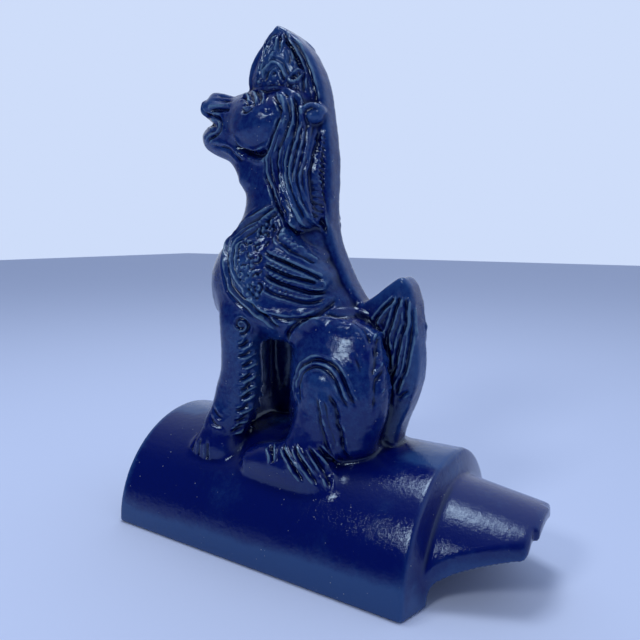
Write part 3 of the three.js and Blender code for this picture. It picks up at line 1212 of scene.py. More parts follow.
@dataclass(frozen=True)
class Hindquarter(Part):
    """Rump, thigh, folded shin and hind paw."""

    rump: Stack = Stack(
        (
            (40, 82, 128, 27),
            (50, 79, 131, 27),
            (62, 77.5, 132.5, 25),
            (76, 77, 134, 24),
            (90, 77.5, 131, 23),
            (102, 80, 126, 22),
            (112, 86, 119, 20),
        )
    )
    thigh: Limb = Limb(
        (
            (112, 12.5, 104, 19, 10),
            (111, 15.5, 90, 24, 13),
            (111.5, 16.5, 73, 24.5, 14.5),
            (112, 17, 56, 19, 13),
        )
    )
    shin: Limb = Limb(
        ((109, 20.5, 82, 12, 11.5), (107, 22.5, 71, 12.5, 10.5), (104, 25.5, 59, 12, 9), (102, 29, 49, 12, 8))
    )
    foot: Limb = Limb(
        (
            (74, 30.5, 41, 7.5, 8),
            (84, 30.5, 43, 9.5, 9.5),
            (97, 31, 43, 9, 9.5),
            (109, 31, 41, 8, 8),
            (117, 31, 38.5, 4.5, 5.5),
        )
    )
    outline: Line = (
        (122.5, 107.6), (117, 110.4), (110.8, 111.4), (104.5, 111.4), (98, 109.7), (92.1, 106.3),
        (88, 102), (86.4, 97),
    )
    arch: Line = (
        (96.2, 71), (95.2, 77), (95.1, 82.7), (98.4, 89.8), (106.4, 93.9), (114.1, 92.7),
        (120.3, 87.2), (123.6, 80.7), (126.8, 73.9),
    )
    shin_ridge: Line = ((110.4, 82.0), (112.4, 73.5), (114.3, 64.5), (116.2, 55.1), (117.6, 46.9))
    hock: Line = ((112.6, 83.2), (117.4, 75.0), (119.4, 65.1), (120.7, 55.8), (122.0, 47.4))
    loose_line: Line = ((122.0, 99.0), (126.0, 93.5), (128.6, 87.0))
    toes: tuple[Line, ...] = (
        ((84.6, 52.4), (88.4, 49.6), (90.6, 45.4)),
        ((91.6, 54.6), (98.6, 49.2), (103.7, 45), (107.4, 41.2)),
        ((98.4, 56.2), (103.9, 50.2), (109.2, 45.2), (113.6, 40.6)),
        ((106.2, 57), (110.9, 50.6), (115.8, 44.3), (120, 39.2)),
        ((110.8, 57), (114.2, 50.8), (117.6, 46)),
    )

    def forms(self) -> list[tuple[Form, float]]:
        """Rump, thigh, shin and foot."""
        return [(self.rump, 6.0), (self.thigh, 5.0), (self.shin, 3.0), (self.foot, 5.5)]

    def strokes(self) -> list[Stroke]:
        """The haunch's edge, the knee's double arch, the shin and the toes."""
        arch = Stroke(self.arch, 1.15, 1.25, taper=0.12, beyond=14)
        cuts = [
            Stroke(self.outline, 1.6, 1.5, Cut.LIP, 0.08),
            Stroke(self.outline, 1.3, 1.0, taper=0.12).beside(-1.6),
            arch,
            arch.beside(-1.9, cut=Cut.ROLL, width=1.2, height=0.8),
            arch.beside(-3.4, height=0.7, width=0.9, taper=0.2),
            arch.beside(-4.6, cut=Cut.ROLL, width=1.0, height=0.4, taper=0.25),
            arch.beside(1.8, cut=Cut.ROLL, width=1.2, height=0.5, taper=0.3),
            Stroke(self.shin_ridge, 1.7, 1.3, Cut.ROLL, 0.2, beyond=14),
            Stroke(self.shin_ridge, 1.0, 0.6, taper=0.3, beyond=14).beside(-2.0),
            Stroke(self.hock, 1.5, 1.4, taper=0.25, beyond=14),
            Stroke(self.loose_line, 1.2, 0.6, taper=0.4, beyond=8),
        ]
        for line in self.toes:
            toe = Stroke(line, 1.05, 1.5, taper=0.2, beyond=22)
            cuts += [toe, toe.beside(1.5, cut=Cut.ROLL, width=0.9, height=0.75)]
            cuts.append(toe.beside(-1.4, cut=Cut.ROLL, width=0.8, height=0.45))
        return cuts


@dataclass(frozen=True)
class Head(Part):
    """Skull, muzzle and jaw, with the eye, the brow tufts, the lips and the round cheek."""

    skull: Limb = Limb(
        (
            (76, 0, 202, 11, 14.5),
            (65, 0, 202.5, 14.5, 17.5),
            (54, 0, 203, 15.5, 15.5),
            (45, 0, 202, 15, 12),
            (40, 0, 203.5, 11, 9.6),
        )
    )
    muzzle: tuple[Line, ...] = (
        ((60, 216),),
        ((49, 218.5), (42, 217.6), (34, 220), (27, 221.2), (22.4, 217.6), (19.4, 213.4), (20.2, 210),
         (24, 208)),
        ((26, 205.8),),
        ((22.6, 203.8), (19.6, 201), (19.2, 197.6), (21, 193.6), (27, 189.8), (37, 185.8), (46, 182)),
        ((60, 184),),
    )
    muzzle_half: float = 4.6
    muzzle_swell: float = 4.6
    cheek: Limb = ball(61.5, 8.8, 198.6, 12.6, 7.9)
    throat: Limb = Limb(((50, 0, 186, 9, 9), (51.5, 0, 177, 7, 10)))
    eye: Limb = ball(59.4, 13.6, 207.6, 3.2, 2.2, 2.3)
    nostril: Limb = ball(25.6, 5.0, 213.6, 3.4, 3.2)
    brows: tuple[Line, ...] = (
        ((50.4, 215.6), (54.6, 215.4), (58.4, 212.6), (60.2, 209.8)),
        ((55.6, 217), (60.4, 214.8), (63.6, 211.8), (64.8, 208.8)),
        ((60.6, 217.2), (64.8, 214.8), (67.2, 211.8), (67.6, 208.8)),
    )
    eye_slit: Line = ((54.6, 208.6), (57.4, 206.4), (60.6, 206.2), (63.8, 208.4))
    eye_lid: Line = ((54.8, 209.6), (58.2, 209.8), (61.4, 210.0), (64.4, 208.6))
    dimple: Line = ((69.8, 206.2), (71.4, 204.4), (73.0, 205.6))
    cheek_edge: Line = (
        (73, 189.6), (69.4, 187.2), (62.7, 186.6), (55.4, 188.6), (50.6, 191.5), (46.8, 194.9),
    )
    nose_groove: Line = ((28.8, 209.6), (32.0, 210.9), (37.5, 210.3), (45.1, 209.6))
    nose_lines: tuple[Line, ...] = (
        ((29.4, 216.2), (37.2, 215.4), (45.6, 213.5)),
        ((30.6, 218.8), (38.6, 217.3), (46.4, 215.8)),
    )
    mouth: Line = ((24.0, 205.2), (29.0, 204.4), (34.4, 203.4))
    lip_edge: Line = (
        (25.4, 217.6), (23.4, 213.6), (25.4, 210), (31.8, 208.4), (37.6, 206.2), (38.4, 201.8),
        (33.4, 198.4), (28.8, 196.4), (26.8, 194.2),
    )
    crown_rim: Line = ((52.6, 217.4), (62.3, 217.9), (71.7, 217.2), (80.6, 214.6), (86.4, 210.4))
    jaw_line: Line = ((27.6, 193.4), (34.0, 192.6), (40.4, 191.4), (46.4, 188.4), (52.6, 183.8))

    def forms(self) -> list[tuple[Form, float]]:
        """Skull, muzzle, throat, cheek, nostril and eye."""
        return [
            (self.skull, 3.0),
            (Plate(joined(self.muzzle), self.muzzle_half, swell=self.muzzle_swell, swell_over=7.0), 3.0),
            (self.throat, 6.0),
            (self.cheek, 5.0),
            (self.nostril, 2.0),
            (self.eye, 1.2),
        ]

    def strokes(self) -> list[Stroke]:
        """Eye, brows, cheek, nose, lips and jaw."""
        cuts = [
            Stroke(self.cheek_edge, 2.1, 2.2, taper=0.2),
            Stroke(self.cheek_edge, 1.6, 0.8, Cut.ROLL, taper=0.2).beside(-2.6),
            Stroke(self.eye_slit, 0.9, 1.1, taper=0.2),
            Stroke(self.eye_lid, 0.8, 0.7, taper=0.2),
            Stroke(self.dimple, 1.0, 0.4, taper=0.3),
            Stroke(self.crown_rim, 1.2, 0.8, Cut.ROLL, 0.1),
            Stroke(self.nose_groove, 1.3, 1.3, taper=0.15),
            Stroke(self.nose_groove, 1.6, 0.6, Cut.ROLL, taper=0.2).beside(2.4),
            Stroke(self.mouth, 1.3, 1.6, taper=0.25),
            Stroke(self.lip_edge, 0.9, 1.1, taper=0.12),
            Stroke(self.lip_edge, 1.2, 0.6, Cut.ROLL, taper=0.1).beside(-1.6),
            Stroke(self.jaw_line, 1.3, 0.9, taper=0.2),
        ]
        cuts += [Stroke(line, 0.9, 0.5, taper=0.3) for line in self.nose_lines]
        for line in self.brows:
            brow = Stroke(line, 1.25, 1.15, Cut.ROLL, taper=0.15)
            cuts += [brow, brow.beside(-1.5, width=0.8, height=0.9, cut=Cut.GROOVE)]
        return cuts


@dataclass(frozen=True)
class Mane(Part):
    """Long locks that fall from the forehead over the neck, and the curled ear on them."""

    body: Limb = Limb(
        (
            (78, 0, 208, 11, 14.5),
            (81, 0, 195, 12.5, 15.2),
            (83, 0, 181, 12.6, 16),
            (84.5, 0, 168, 11.5, 17),
            (88, 0, 156, 9, 17),
        )
    )
    guides: tuple[Line, ...] = (
        ((71.8, 214.7), (75.5, 210.7), (79.1, 207), (79.3, 204), (78.4, 200.4), (74.5, 192.5), (70.5, 184.4),
         (70.1, 179), (70.9, 174.4), (75.9, 164.5), (81.5, 156.3), (88.7, 148.6)),
        ((74.2, 215.4), (79.7, 212), (82.7, 203.8), (81.2, 194.8), (77, 186.9), (75.9, 178.7), (78.3, 170.1),
         (83.5, 162.3), (88, 154), (91, 150)),
        ((79, 213.5), (84.1, 209.8), (86.2, 200.7), (85.2, 193.1), (83, 183.5), (82.3, 178.3), (84.9, 170.6),
         (88.6, 162.2), (92.4, 154), (94, 151)),
        ((93.2, 197), (93.4, 191), (92.6, 182), (92.4, 175), (93.2, 168), (94.8, 160), (96.4, 154),
         (97.6, 149)),
    )
    shares: tuple[tuple[float, ...], ...] = ((0.36, 0.7), (0.33, 0.68), (0.28, 0.54, 0.78))
    ear: tuple[float, float, float] = (92.0, 8.4, 202.6)
    far_ear: tuple[float, float, float] = (87.6, -9.4, 202.6)
    ear_radius: float = 4.6
    ear_tilt: float = 1.6
    rim_turns: tuple[float, float] = (1.12, 0.12)
    rope: tuple[float, float, float, int] = (95.0, 194.0, 158.0, 15)

    def forms(self) -> list[tuple[Form, float]]:
        """The thick fall of hair."""
        return [(self.body, 1.6)]

    def trim(self, clay: Clay) -> None:
        """Sets the ears: flat discs under a curved rim.

        Args:
            clay: The whole clay.
        """
        for x, y, z in (self.ear, self.far_ear):
            side = math.copysign(1.0, y)
            clay.add(ball(x, y - 0.6 * side, z, self.ear_radius, 3.2), 1.0)
            turns = np.linspace(*self.rim_turns, 9) * math.pi
            ring = turned((x, z), self.ear_radius + 0.4, turns)
            tilts = y - self.ear_tilt * side * np.cos(turns)
            rows = tuple((rx, ry, rz, 1.1, 3.0) for (rx, rz), ry in zip(ring, tilts))
            clay.add(Limb(rows, spacing=1.5), 0.6)
            clay.add(ball(x - 0.3, y + 1.6 * side, z - 0.3, 2.1, 2.0), 0.4)

    def strokes(self) -> list[Stroke]:
        """The border over the face, the partings with finer locks between, and the roped strand behind."""
        border = Stroke(self.guides[0], 1.5, 1.4, Cut.LIP, 0.05)
        cuts = [
            border,
            border.beside(-1.0, cut=Cut.GROOVE, width=1.1, height=0.9),
            border.beside(1.3, cut=Cut.ROLL, width=1.0, height=0.7),
        ]
        for line in self.guides[1:]:
            parting = Stroke(line, 1.15, 1.5, taper=0.1)
            cuts += [parting, parting.beside(1.5, cut=Cut.ROLL, width=1.1, height=0.6)]
            cuts.append(parting.beside(-1.5, cut=Cut.ROLL, width=1.0, height=0.4))
        for first, second, shares in zip(self.guides, self.guides[1:], self.shares):
            cuts += [Stroke(line, 0.8, 0.85, taper=0.15) for line in between(first, second, *shares)]
        x, top, low, count = self.rope
        for z in np.linspace(top, low, count):
            cuts.append(Stroke(((x - 1.5, z + 1.5), (x, z), (x + 1.2, z - 1.6)), 0.7, 0.5, taper=0.25))
        return cuts


@dataclass(frozen=True)
class Spine(Part):
    """The smooth strip up the back, which ends in the flame crest."""

    strip: tuple[Line, ...] = (
        ((57, 208),),
        ((52.5, 215), (51, 225), (55, 234), (62, 241)),
        ((68.5, 247.2),),
        ((73, 245),),
        ((79.5, 240.5), (88, 231), (93.8, 219), (96.5, 206), (98.6, 192), (99.6, 178), (99, 164)),
        ((99.2, 154), (101.5, 145), (105.8, 135), (112, 124), (120, 113), (128, 102)),
        ((104, 102), (84, 150), (80, 190)),
    )
    strip_half: float = 5.4
    flame: tuple[Line, ...] = (
        ((59, 210),),
        ((55.5, 216), (55, 224), (59, 232), (64, 237.5)),
        ((68.5, 242.8),),
        ((75, 238.5), (82, 229), (87.5, 219), (90, 210)),
        ((84, 200), (66, 200)),
    )
    flame_half: float = 6.8
    edge_lines: tuple[Line, ...] = (
        ((70.6, 243.6), (64.6, 240.4), (61.8, 232.8), (60.4, 224.7), (59.6, 219.4)),
        ((69.4, 242), (69, 235.6), (65.5, 230.7), (62, 224.4)),
        ((71.3, 241.7), (72.4, 236.6), (71.9, 232.4)),
        ((72.3, 240.8), (76.3, 234.9), (78.2, 230.4), (78, 227)),
        ((74.6, 239), (78.9, 233.2), (80.6, 228)),
        ((72.6, 243), (79.8, 232.8), (84.3, 224.3), (86.2, 213.3)),
    )
    outer_ridge: Line = ((74.5, 243.2), (82.0, 236.0), (88.2, 226.6), (92.6, 216.0), (94.0, 208.4))
    arch: Line = ((63.2, 221.6), (64.4, 226.0), (68.9, 228.7), (73.6, 227.0), (76.1, 222.7), (77.5, 220.4))
    bead: tuple[float, float] = (68.9, 232.4)
    bead_radius: float = 1.9
    curl: Line = ((77.5, 221.0), (79.6, 218.9), (82.9, 219.2), (84.6, 222.0), (83.4, 224.6), (81.2, 224.0))
    pits: Line = ((69.6, 224.6), (80.8, 221.8))
    beads: Line = ((61.9, 221.0), (66.4, 220.2), (71.4, 219.4), (76.4, 217.8), (81.3, 216.6))

    def forms(self) -> list[tuple[Form, float]]:
        """The strip and the flame crest on it."""
        return [
            (Plate(joined(self.strip), self.strip_half, edge=2.2), 1.2),
            (Plate(joined(self.flame), self.flame_half, swell=1.4, swell_over=8.0), 1.2),
        ]

    def strokes(self) -> list[Stroke]:
        """The crest's flames, its arch with a bead over it, and the curl beside it."""
        ring = turned(self.bead, self.bead_radius, np.linspace(0, 2 * math.pi, 9))
        left, first, *middle, last, right = self.edge_lines
        cuts = [
            Stroke(self.outer_ridge, 1.1, 0.9, Cut.ROLL, 0.1),
            Stroke(self.outer_ridge, 1.0, 0.5, taper=0.1).beside(-1.7),
            Stroke(self.arch, 1.2, 1.0, Cut.ROLL, 0.1),
            Stroke(self.arch, 1.0, 1.0, taper=0.1).beside(-1.7),
            Stroke(self.arch, 1.0, 0.8, taper=0.1).beside(1.7),
            Stroke(ring, 0.8, 0.8, taper=0.0),
            Stroke(self.curl, 1.1, 1.0, Cut.ROLL, 0.1),
            Stroke(self.curl, 0.9, 1.0, taper=0.1).beside(1.6),
        ]
        cuts += [Stroke(((px - 1, pz), (px + 1, pz)), 1.3, 1.6, taper=0.0) for px, pz in self.pits]
        cuts += [Stroke(((px - 0.8, pz), (px + 0.8, pz)), 1.2, 0.8, Cut.ROLL, 0.0) for px, pz in self.beads]
        hairs = [*between(left, first, 0.35, 0.7), *between(last, right, 0.4, 0.7)]
        cuts += [Stroke(line, 0.8, 0.7, taper=0.2) for line in hairs]
        for line in self.edge_lines:
            flame = Stroke(line, 1.0, 1.0, taper=0.12)
            cuts += [flame, flame.beside(1.4, cut=Cut.ROLL, width=0.9, height=0.6)]
        return cuts


@dataclass(frozen=True)
class Wing(Part):
    """The wing: a scaly tuft on the shoulder and long feathers swept back from it."""

    bulge: Limb = Limb(((78, 17, 138, 13, 7.5), (88, 14, 133, 10, 7), (99, 8.5, 127.5, 5.5, 6)))
    tuft: Line = ((72.0, 155.5), (64.5, 149.0), (60.8, 141.0), (60.6, 134.0), (64.0, 126.0), (69.5, 119.0))
    tuft_edge: Line = ((75, 153), (75.2, 147), (73.2, 141), (73, 134), (73.6, 127), (73.8, 120))
    curls: int = 34
    curl_size: tuple[float, float] = (1.1, 2.3)
    curl_turns: tuple[float, float] = (2.4, 4.6)
    feathers: tuple[Line, ...] = (
        ((77.5, 149.7), (84, 144.7), (88.5, 140.9), (93.5, 138.6), (98.1, 135)),
        ((74.4, 140.8), (81.3, 137.8), (89.6, 134), (95.8, 131), (101.7, 127.2)),
        ((74.8, 134.7), (80.9, 132.4), (87.5, 129.8), (92.9, 127.9), (98.9, 126.4)),
        ((75.8, 130.1), (84, 126.5), (91.6, 123.5), (97.7, 122), (102.8, 122.6)),
        ((75.1, 124.7), (83.7, 121), (91.7, 118.7), (98.4, 118), (103, 119.4)),
    )
    depths: Row = (0.8, 1.7, 1.5, 1.2, 0.8)
    lens_half: float = 2.6
    lens_rise: float = 0.8
    barb_gap: float = 2.0
    barbs: int = 5
    top_edge: Line = ((78.5, 156.7), (80.5, 151.2), (84.8, 146.6), (89.7, 143.2), (95.5, 141.4))
    hooked_tip: Line = (
        (84, 129.2), (87.8, 127.9), (93.8, 125.2), (99.5, 123.8), (102.2, 124.7), (101.8, 127), (99.5, 128),
    )
    belly: Line = (
        (70.6, 115), (76, 112.9), (82.4, 111.6), (88.9, 111), (97.5, 112.5), (102.7, 115.8), (106, 121.2),
    )

    def forms(self) -> list[tuple[Form, float]]:
        """The shoulder's bulge under the feathers."""
        return [(self.bulge, 4.0)]

    def strokes(self) -> list[Stroke]:
        """The curly tuft, the feathers with their barbs, and the belly line under them."""
        cuts = [
            Stroke(self.top_edge, 1.1, 1.1, Cut.ROLL, 0.2),
            Stroke(self.hooked_tip, 1.0, 0.9, Cut.ROLL, 0.15),
        ]
        cuts += self._curls()
        for line, depth in zip(self.feathers, self.depths):
            cuts += self._feather(line, depth)
        cuts += [
            Stroke(self.belly, 1.4, 1.1, Cut.LIP, 0.12),
            Stroke(self.belly, 1.2, 0.9, taper=0.15).beside(-1.5),
        ]
        return cuts

    def _curls(self) -> list[Stroke]:
        """Short hooks and pits, scattered between the tuft's two edges."""
        picker = np.random.default_rng(self.curls)
        near, far = evenly(self.tuft, self.curls), evenly(self.tuft_edge, self.curls)
        cuts = []
        for i, (a, b) in enumerate(zip(near, far)):
            centre = a + (b - a) * ((i * GOLDEN) % 1.0)
            size = picker.uniform(*self.curl_size)
            turns = picker.uniform(0, 2 * math.pi) + np.linspace(0, picker.uniform(*self.curl_turns), 7)
            hook = turned(centre, size, turns)
            cuts.append(Stroke(hook, 0.8, 0.9, taper=0.2))
            cuts.append(Stroke(hook, 0.8, 0.5, Cut.ROLL, taper=0.2).beside(1.1))
        return cuts

    def _feather(self, line: Line, depth: float) -> list[Stroke]:
        """The parting under one long feather, the feather's lens and rim over it, and barbs near its root.

        Args:
            line: The line of the parting.
            depth: How deep the parting is.

        Returns:
            Its strokes.
        """
        parting = Stroke(line, 1.15, depth, taper=0.12)
        cuts = [
            parting,
            parting.beside(self.lens_half, cut=Cut.ROLL, width=self.lens_half, height=self.lens_rise),
            parting.beside(1.4, cut=Cut.ROLL, width=0.9, height=0.6),
            parting.beside(-1.4, cut=Cut.ROLL, width=0.9, height=0.45),
        ]
        length = float(np.hypot(*np.diff(np.array(line), axis=0).T).sum())
        points = evenly(line, int(length / self.barb_gap))
        for (x, z), (dx, dz) in zip(points[1:], np.diff(points, axis=0)[: self.barbs]):
            tip = (x + 1.2 * dx - 1.6 * dz, z + 1.2 * dz + 1.6 * dx)
            cuts.append(Stroke(((x, z), tip), 0.6, 0.45, taper=0.3))
        return cuts


@dataclass(frozen=True)
class Tail(Part):
    """The upright, flame-shaped tail with its flutes."""

    runs: tuple[Line, ...] = (
        ((104, 100), (112, 113)),
        ((118.5, 118.5), (124.5, 122.5), (131, 127.8), (136.5, 130.4), (140.5, 127)),
        ((143, 120), (144.2, 108), (145.4, 90), (144.2, 81), (141, 71), (137, 61), (134, 46)),
        ((112, 46),),
    )
    half: float = 6.2
    flutes: tuple[Line, ...] = (
        ((134.6, 121.4), (129.8, 117.2), (125.6, 112.4), (124, 108.4)),
        ((136.8, 123), (133.4, 112.1), (130.6, 104.2), (131.4, 95.4)),
        ((138.8, 122.4), (139.4, 112.7), (137, 102.5), (134.6, 91.4), (133.2, 84)),
        ((141.4, 119.8), (142.2, 110.9), (141.4, 98.5), (138.6, 86.5), (135, 77)),
    )
    seam: Line = ((118.6, 113.0), (126.3, 106.0), (130.6, 97.4), (132.4, 88.5), (133.0, 79.5), (132.8, 70.0))
    lower: Line = ((136.4, 75.4), (139.4, 78.4), (142.6, 80.2))

    def forms(self) -> list[tuple[Form, float]]:
        """The tail's one blade."""
        return [(Plate(joined(self.runs), self.half, edge=2.4, swell=0.6, swell_over=7.0), 2.0)]

    def strokes(self) -> list[Stroke]:
        """Flutes that run down to the tail's root, with rolls between them."""
        cuts = [Stroke(self.seam, 1.3, 1.0, taper=0.15), Stroke(self.lower, 1.1, 0.7, taper=0.3)]
        for line in self.flutes:
            flute = Stroke(line, 1.1, 1.25, taper=0.12)
            cuts += [flute, flute.beside(1.7, cut=Cut.ROLL, width=1.2, height=0.6)]
            cuts.append(flute.beside(-1.6, cut=Cut.ROLL, width=1.0, height=0.35))
        return cuts


# ------------------------------------------------------------------ shader maths


class Socket:
    """A node's output that can be reckoned with: an expression adds its Math nodes."""

    def __init__(self, nodes: Nodes, output: bpy.types.NodeSocket) -> None:
        """Wraps an output.

        Args:
            nodes: The node tree's builder.
            output: The output.
        """
        self.nodes = nodes
        self.output = output

    def _math(self, operation: str, *values: Any, clamp: bool = False) -> Socket:
        """Adds a Math node on values, of which self may be one."""
        sockets = dict(enumerate(values))
        settings = {"operation": operation, "use_clamp": clamp}
        return self.nodes.add("ShaderNodeMath", settings, sockets)

    def __add__(self, other: Any) -> Socket:
        """self + other"""
        return self._math("ADD", self, other)

    def __radd__(self, other: Any) -> Socket:
        """other + self"""
        return self._math("ADD", other, self)

    def __sub__(self, other: Any) -> Socket:
        """self - other"""
        return self._math("SUBTRACT", self, other)

    def __rsub__(self, other: Any) -> Socket:
        """other - self"""
        return self._math("SUBTRACT", other, self)

    def __mul__(self, other: Any) -> Socket:
        """self * other"""
        return self._math("MULTIPLY", self, other)

    def __rmul__(self, other: Any) -> Socket:
        """other * self"""
        return self._math("MULTIPLY", other, self)

    def clamped(self) -> Socket:
        """The value held between 0 and 1."""
        return self._math("ADD", self, 0.0, clamp=True)

    def eased(self, low: float, high: float) -> Socket:
        """Rises smoothly from 0 to 1 as the value goes from low to high.

        Args:
            low: Where the rise begins.
            high: Where it ends.

        Returns:
            The eased value.
        """
        settings = {"interpolation_type": "SMOOTHSTEP", "clamp": True}
        sockets = {"Value": self, "From Min": low, "From Max": high}
        return self.nodes.add("ShaderNodeMapRange", settings, sockets)


class Nodes:
    """Builds a material's or a world's node tree."""

    def __init__(self, owner: bpy.types.Material | bpy.types.World) -> None:
        """Clears the tree.

        Args:
            owner: The material or world.
        """
        owner.use_nodes = True
        self.tree = owner.node_tree
        self.tree.nodes.clear()

    @staticmethod
    def _find(sockets: Any, key: str | int) -> bpy.types.NodeSocket:
        """Finds a socket.

        Args:
            sockets: A node's inputs or outputs.
            key: The socket's number, identifier or name.

        Returns:
            The socket.
        """
        if isinstance(key, int):
            return sockets[key]
        named = [s for s in sockets if s.identifier == key] or [s for s in sockets if s.name == key]
        return named[0]

    def add(
        self,
        kind: str,
        settings: dict[str, Any] | None = None,
        sockets: dict[Any, Any] | None = None,
        output: str | int = 0,
    ) -> Socket:
        """Adds a node.

        Args:
            kind: The node's type.
            settings: Its properties, set first.
            sockets: Values or links of its inputs, by name, identifier or number.
            output: The output that is wanted, by name, identifier or number.

        Returns:
            That output.
        """
        node = self.tree.nodes.new(kind)
        for name, value in (settings or {}).items():
            setattr(node, name, value)
        for key, value in (sockets or {}).items():
            target = self._find(node.inputs, key)
            if isinstance(value, Socket):
                self.tree.links.new(value.output, target)
            else:
                target.default_value = value
        return Socket(self, self._find(node.outputs, output)) if node.outputs else Socket(self, None)

    def mix(self, factor: Any, first: Any, second: Any) -> Socket:
        """Mixes two colours.

        Args:
            factor: How much of the second shows.
            first: The first colour.
            second: The second colour.

        Returns:
            The mixed colour.
        """
        settings = {"data_type": "RGBA", "blend_type": "MIX"}
        sockets = {"Factor_Float": factor, "A_Color": first, "B_Color": second}
        return self.add("ShaderNodeMix", settings, sockets, "Result_Color")


Colour = tuple[float, float, float, float]


def colour(red: int, green: int, blue: int) -> Colour:
    """A colour from its screen values, from 0 to 255.

    Args:
        red: Red.
        green: Green.
        blue: Blue.

    Returns:
        The colour in linear light, with full alpha.
    """
    shares = (value / 255 for value in (red, green, blue))
    linear = [s / 12.92 if s <= 0.04045 else ((s + 0.055) / 1.055) ** 2.4 for s in shares]
    return (*linear, 1.0)


@dataclass(frozen=True)
class CobaltGlaze:
    """Thick cobalt glaze: dark where it pools and in painted shade, thin and greyish on ridges, with
    pinholes.

    Attributes:
        deep: The glaze where it pools, also used as painted shade in grooves, folds and hollows.
        body: The glaze at its usual thickness.
        cloudy: The milky flecks in it, laid more thickly as painted light on the forms that stand out.
        thin: The glaze where it ran off an edge.
        pinhole: The clay that shows in a pinhole.
        pinhole_scale: How many cells of a metre can hold one pinhole each.
        sheen: The roughness of clean glaze.
        glint: The tint of what the glaze mirrors head-on.
        beast_from: The heights between which the tile's clear glaze gives way to the beast's milky one.
        fine: The height of the glaze's waves, in metres.
    """

    # pooled glaze, also the colour of the painted shade in grooves, folds and hollows
    deep: Colour = colour(0, 5, 54)
    body: Colour = colour(2, 16, 92)
    cloudy: Colour = colour(36, 72, 128)
    thin: Colour = colour(100, 136, 164)
    pinhole: Colour = colour(176, 184, 190)
    pinhole_scale: float = 420.0
    sheen: float = 0.09
    glint: Colour = (0.62, 0.82, 1.0, 1.0)
    beast_from: tuple[float, float] = (0.045, 0.080)
    fine: float = 0.00022

    def material(self) -> bpy.types.Material:
        """Makes the material.

        Returns:
            The material.
        """
        made = bpy.data.materials.new("cobalt_glaze")
        nodes = Nodes(made)
        place = nodes.add("ShaderNodeTexCoord", output="Object")
        height = nodes.add("ShaderNodeSeparateXYZ", {}, {"Vector": place}, "Z")
        carved = nodes.add("ShaderNodeAttribute", {"attribute_name": "carved"}, output="Fac")
        ridge = nodes.add("ShaderNodeAttribute", {"attribute_name": "ridge"}, output="Fac")
        crown = nodes.add("ShaderNodeAttribute", {"attribute_name": "crown"}, output="Fac")

        def cloud(scale: float, detail: float = 4.0, roughness: float = 0.55) -> Socket:
            """Noise of one scale."""
            sockets = {"Vector": place, "Scale": scale, "Detail": detail, "Roughness": roughness}
            return nodes.add("ShaderNodeTexNoise", {}, sockets, "Fac")

        drift, mottle, grain = cloud(40.0), cloud(380.0, 5.0, 0.65), cloud(1200.0, 3.0, 0.7)
        beast = height.eased(*self.beast_from)
        # painted shade mixed with real pooling: grooves, folds and the hollows of the broad forms darken
        # towards the deep colour
        low = (0.0 - ridge - carved * 0.5 - crown * 0.4 + (drift - 0.5) * 0.3).eased(0.10, 0.75)
        speckle = (mottle - 0.5) * 2.2 + (grain - 0.5) * 1.0
        # the crown term is painted light: forms that stand out of the broad shape turn paler and milkier
        cloudiness_and_painted_light = 0.10 + beast * 0.34 + crown * 0.20 + (drift - 0.5) * 1.1
        milk_and_painted_light = (cloudiness_and_painted_light + speckle * (0.22 + beast * 0.36)).eased(0.12, 1.0)
        high = (ridge * 0.95 + speckle * 0.40).eased(0.42, 1.15)
        tone = nodes.mix(milk_and_painted_light * 0.8, self.body, self.cloudy)
        tone = nodes.mix(low * 0.9, tone, self.deep)
        tone = nodes.mix(high * 0.62, tone, self.thin)
        cells = {"Vector": place, "Scale": self.pinhole_scale}
        dots = nodes.add("ShaderNodeTexVoronoi", {"feature": "F1"}, cells, "Distance")
        chance = cloud(160.0, 1.0)
        hole = (1 - dots.eased(0.07, 0.13)) * chance.eased(0.56, 0.66)
        tone = nodes.mix(hole * 0.7, tone, self.pinhole)
        rough = self.sheen + (mottle - 0.5) * 0.10 + high * 0.14 + hole * 0.3
        relief = grain * 0.25 + mottle * 0.9 + drift * 1.6 - hole * 1.2
        bump = nodes.add(
            "ShaderNodeBump", {}, {"Strength": 0.8, "Distance": self.fine, "Height": relief}, "Normal"
        )
        surface = nodes.add(
            "ShaderNodeBsdfPrincipled",
            {},
            {
                "Base Color": tone,
                "Roughness": rough.clamped(),
                "IOR": 1.52,
                "Specular Tint": self.glint,
                "Normal": bump,
            },
        )
        nodes.add("ShaderNodeOutputMaterial", {}, {"Surface": surface})
        return made


@dataclass(frozen=True)
class PaleFloor:
    """The plain pale floor."""

    tone: Colour = colour(192, 206, 236)
    roughness: float = 0.85

    def material(self) -> bpy.types.Material:
        """Makes the material.

        Returns:
            The material.
        """
        made = bpy.data.materials.new("pale_floor")
        nodes = Nodes(made)
        surface = nodes.add(
            "ShaderNodeBsdfPrincipled", {}, {"Base Color": self.tone, "Roughness": self.roughness}
        )
        nodes.add("ShaderNodeOutputMaterial", {}, {"Surface": surface})
        return made


# ------------------------------------------------------------------ the whole piece and its setting


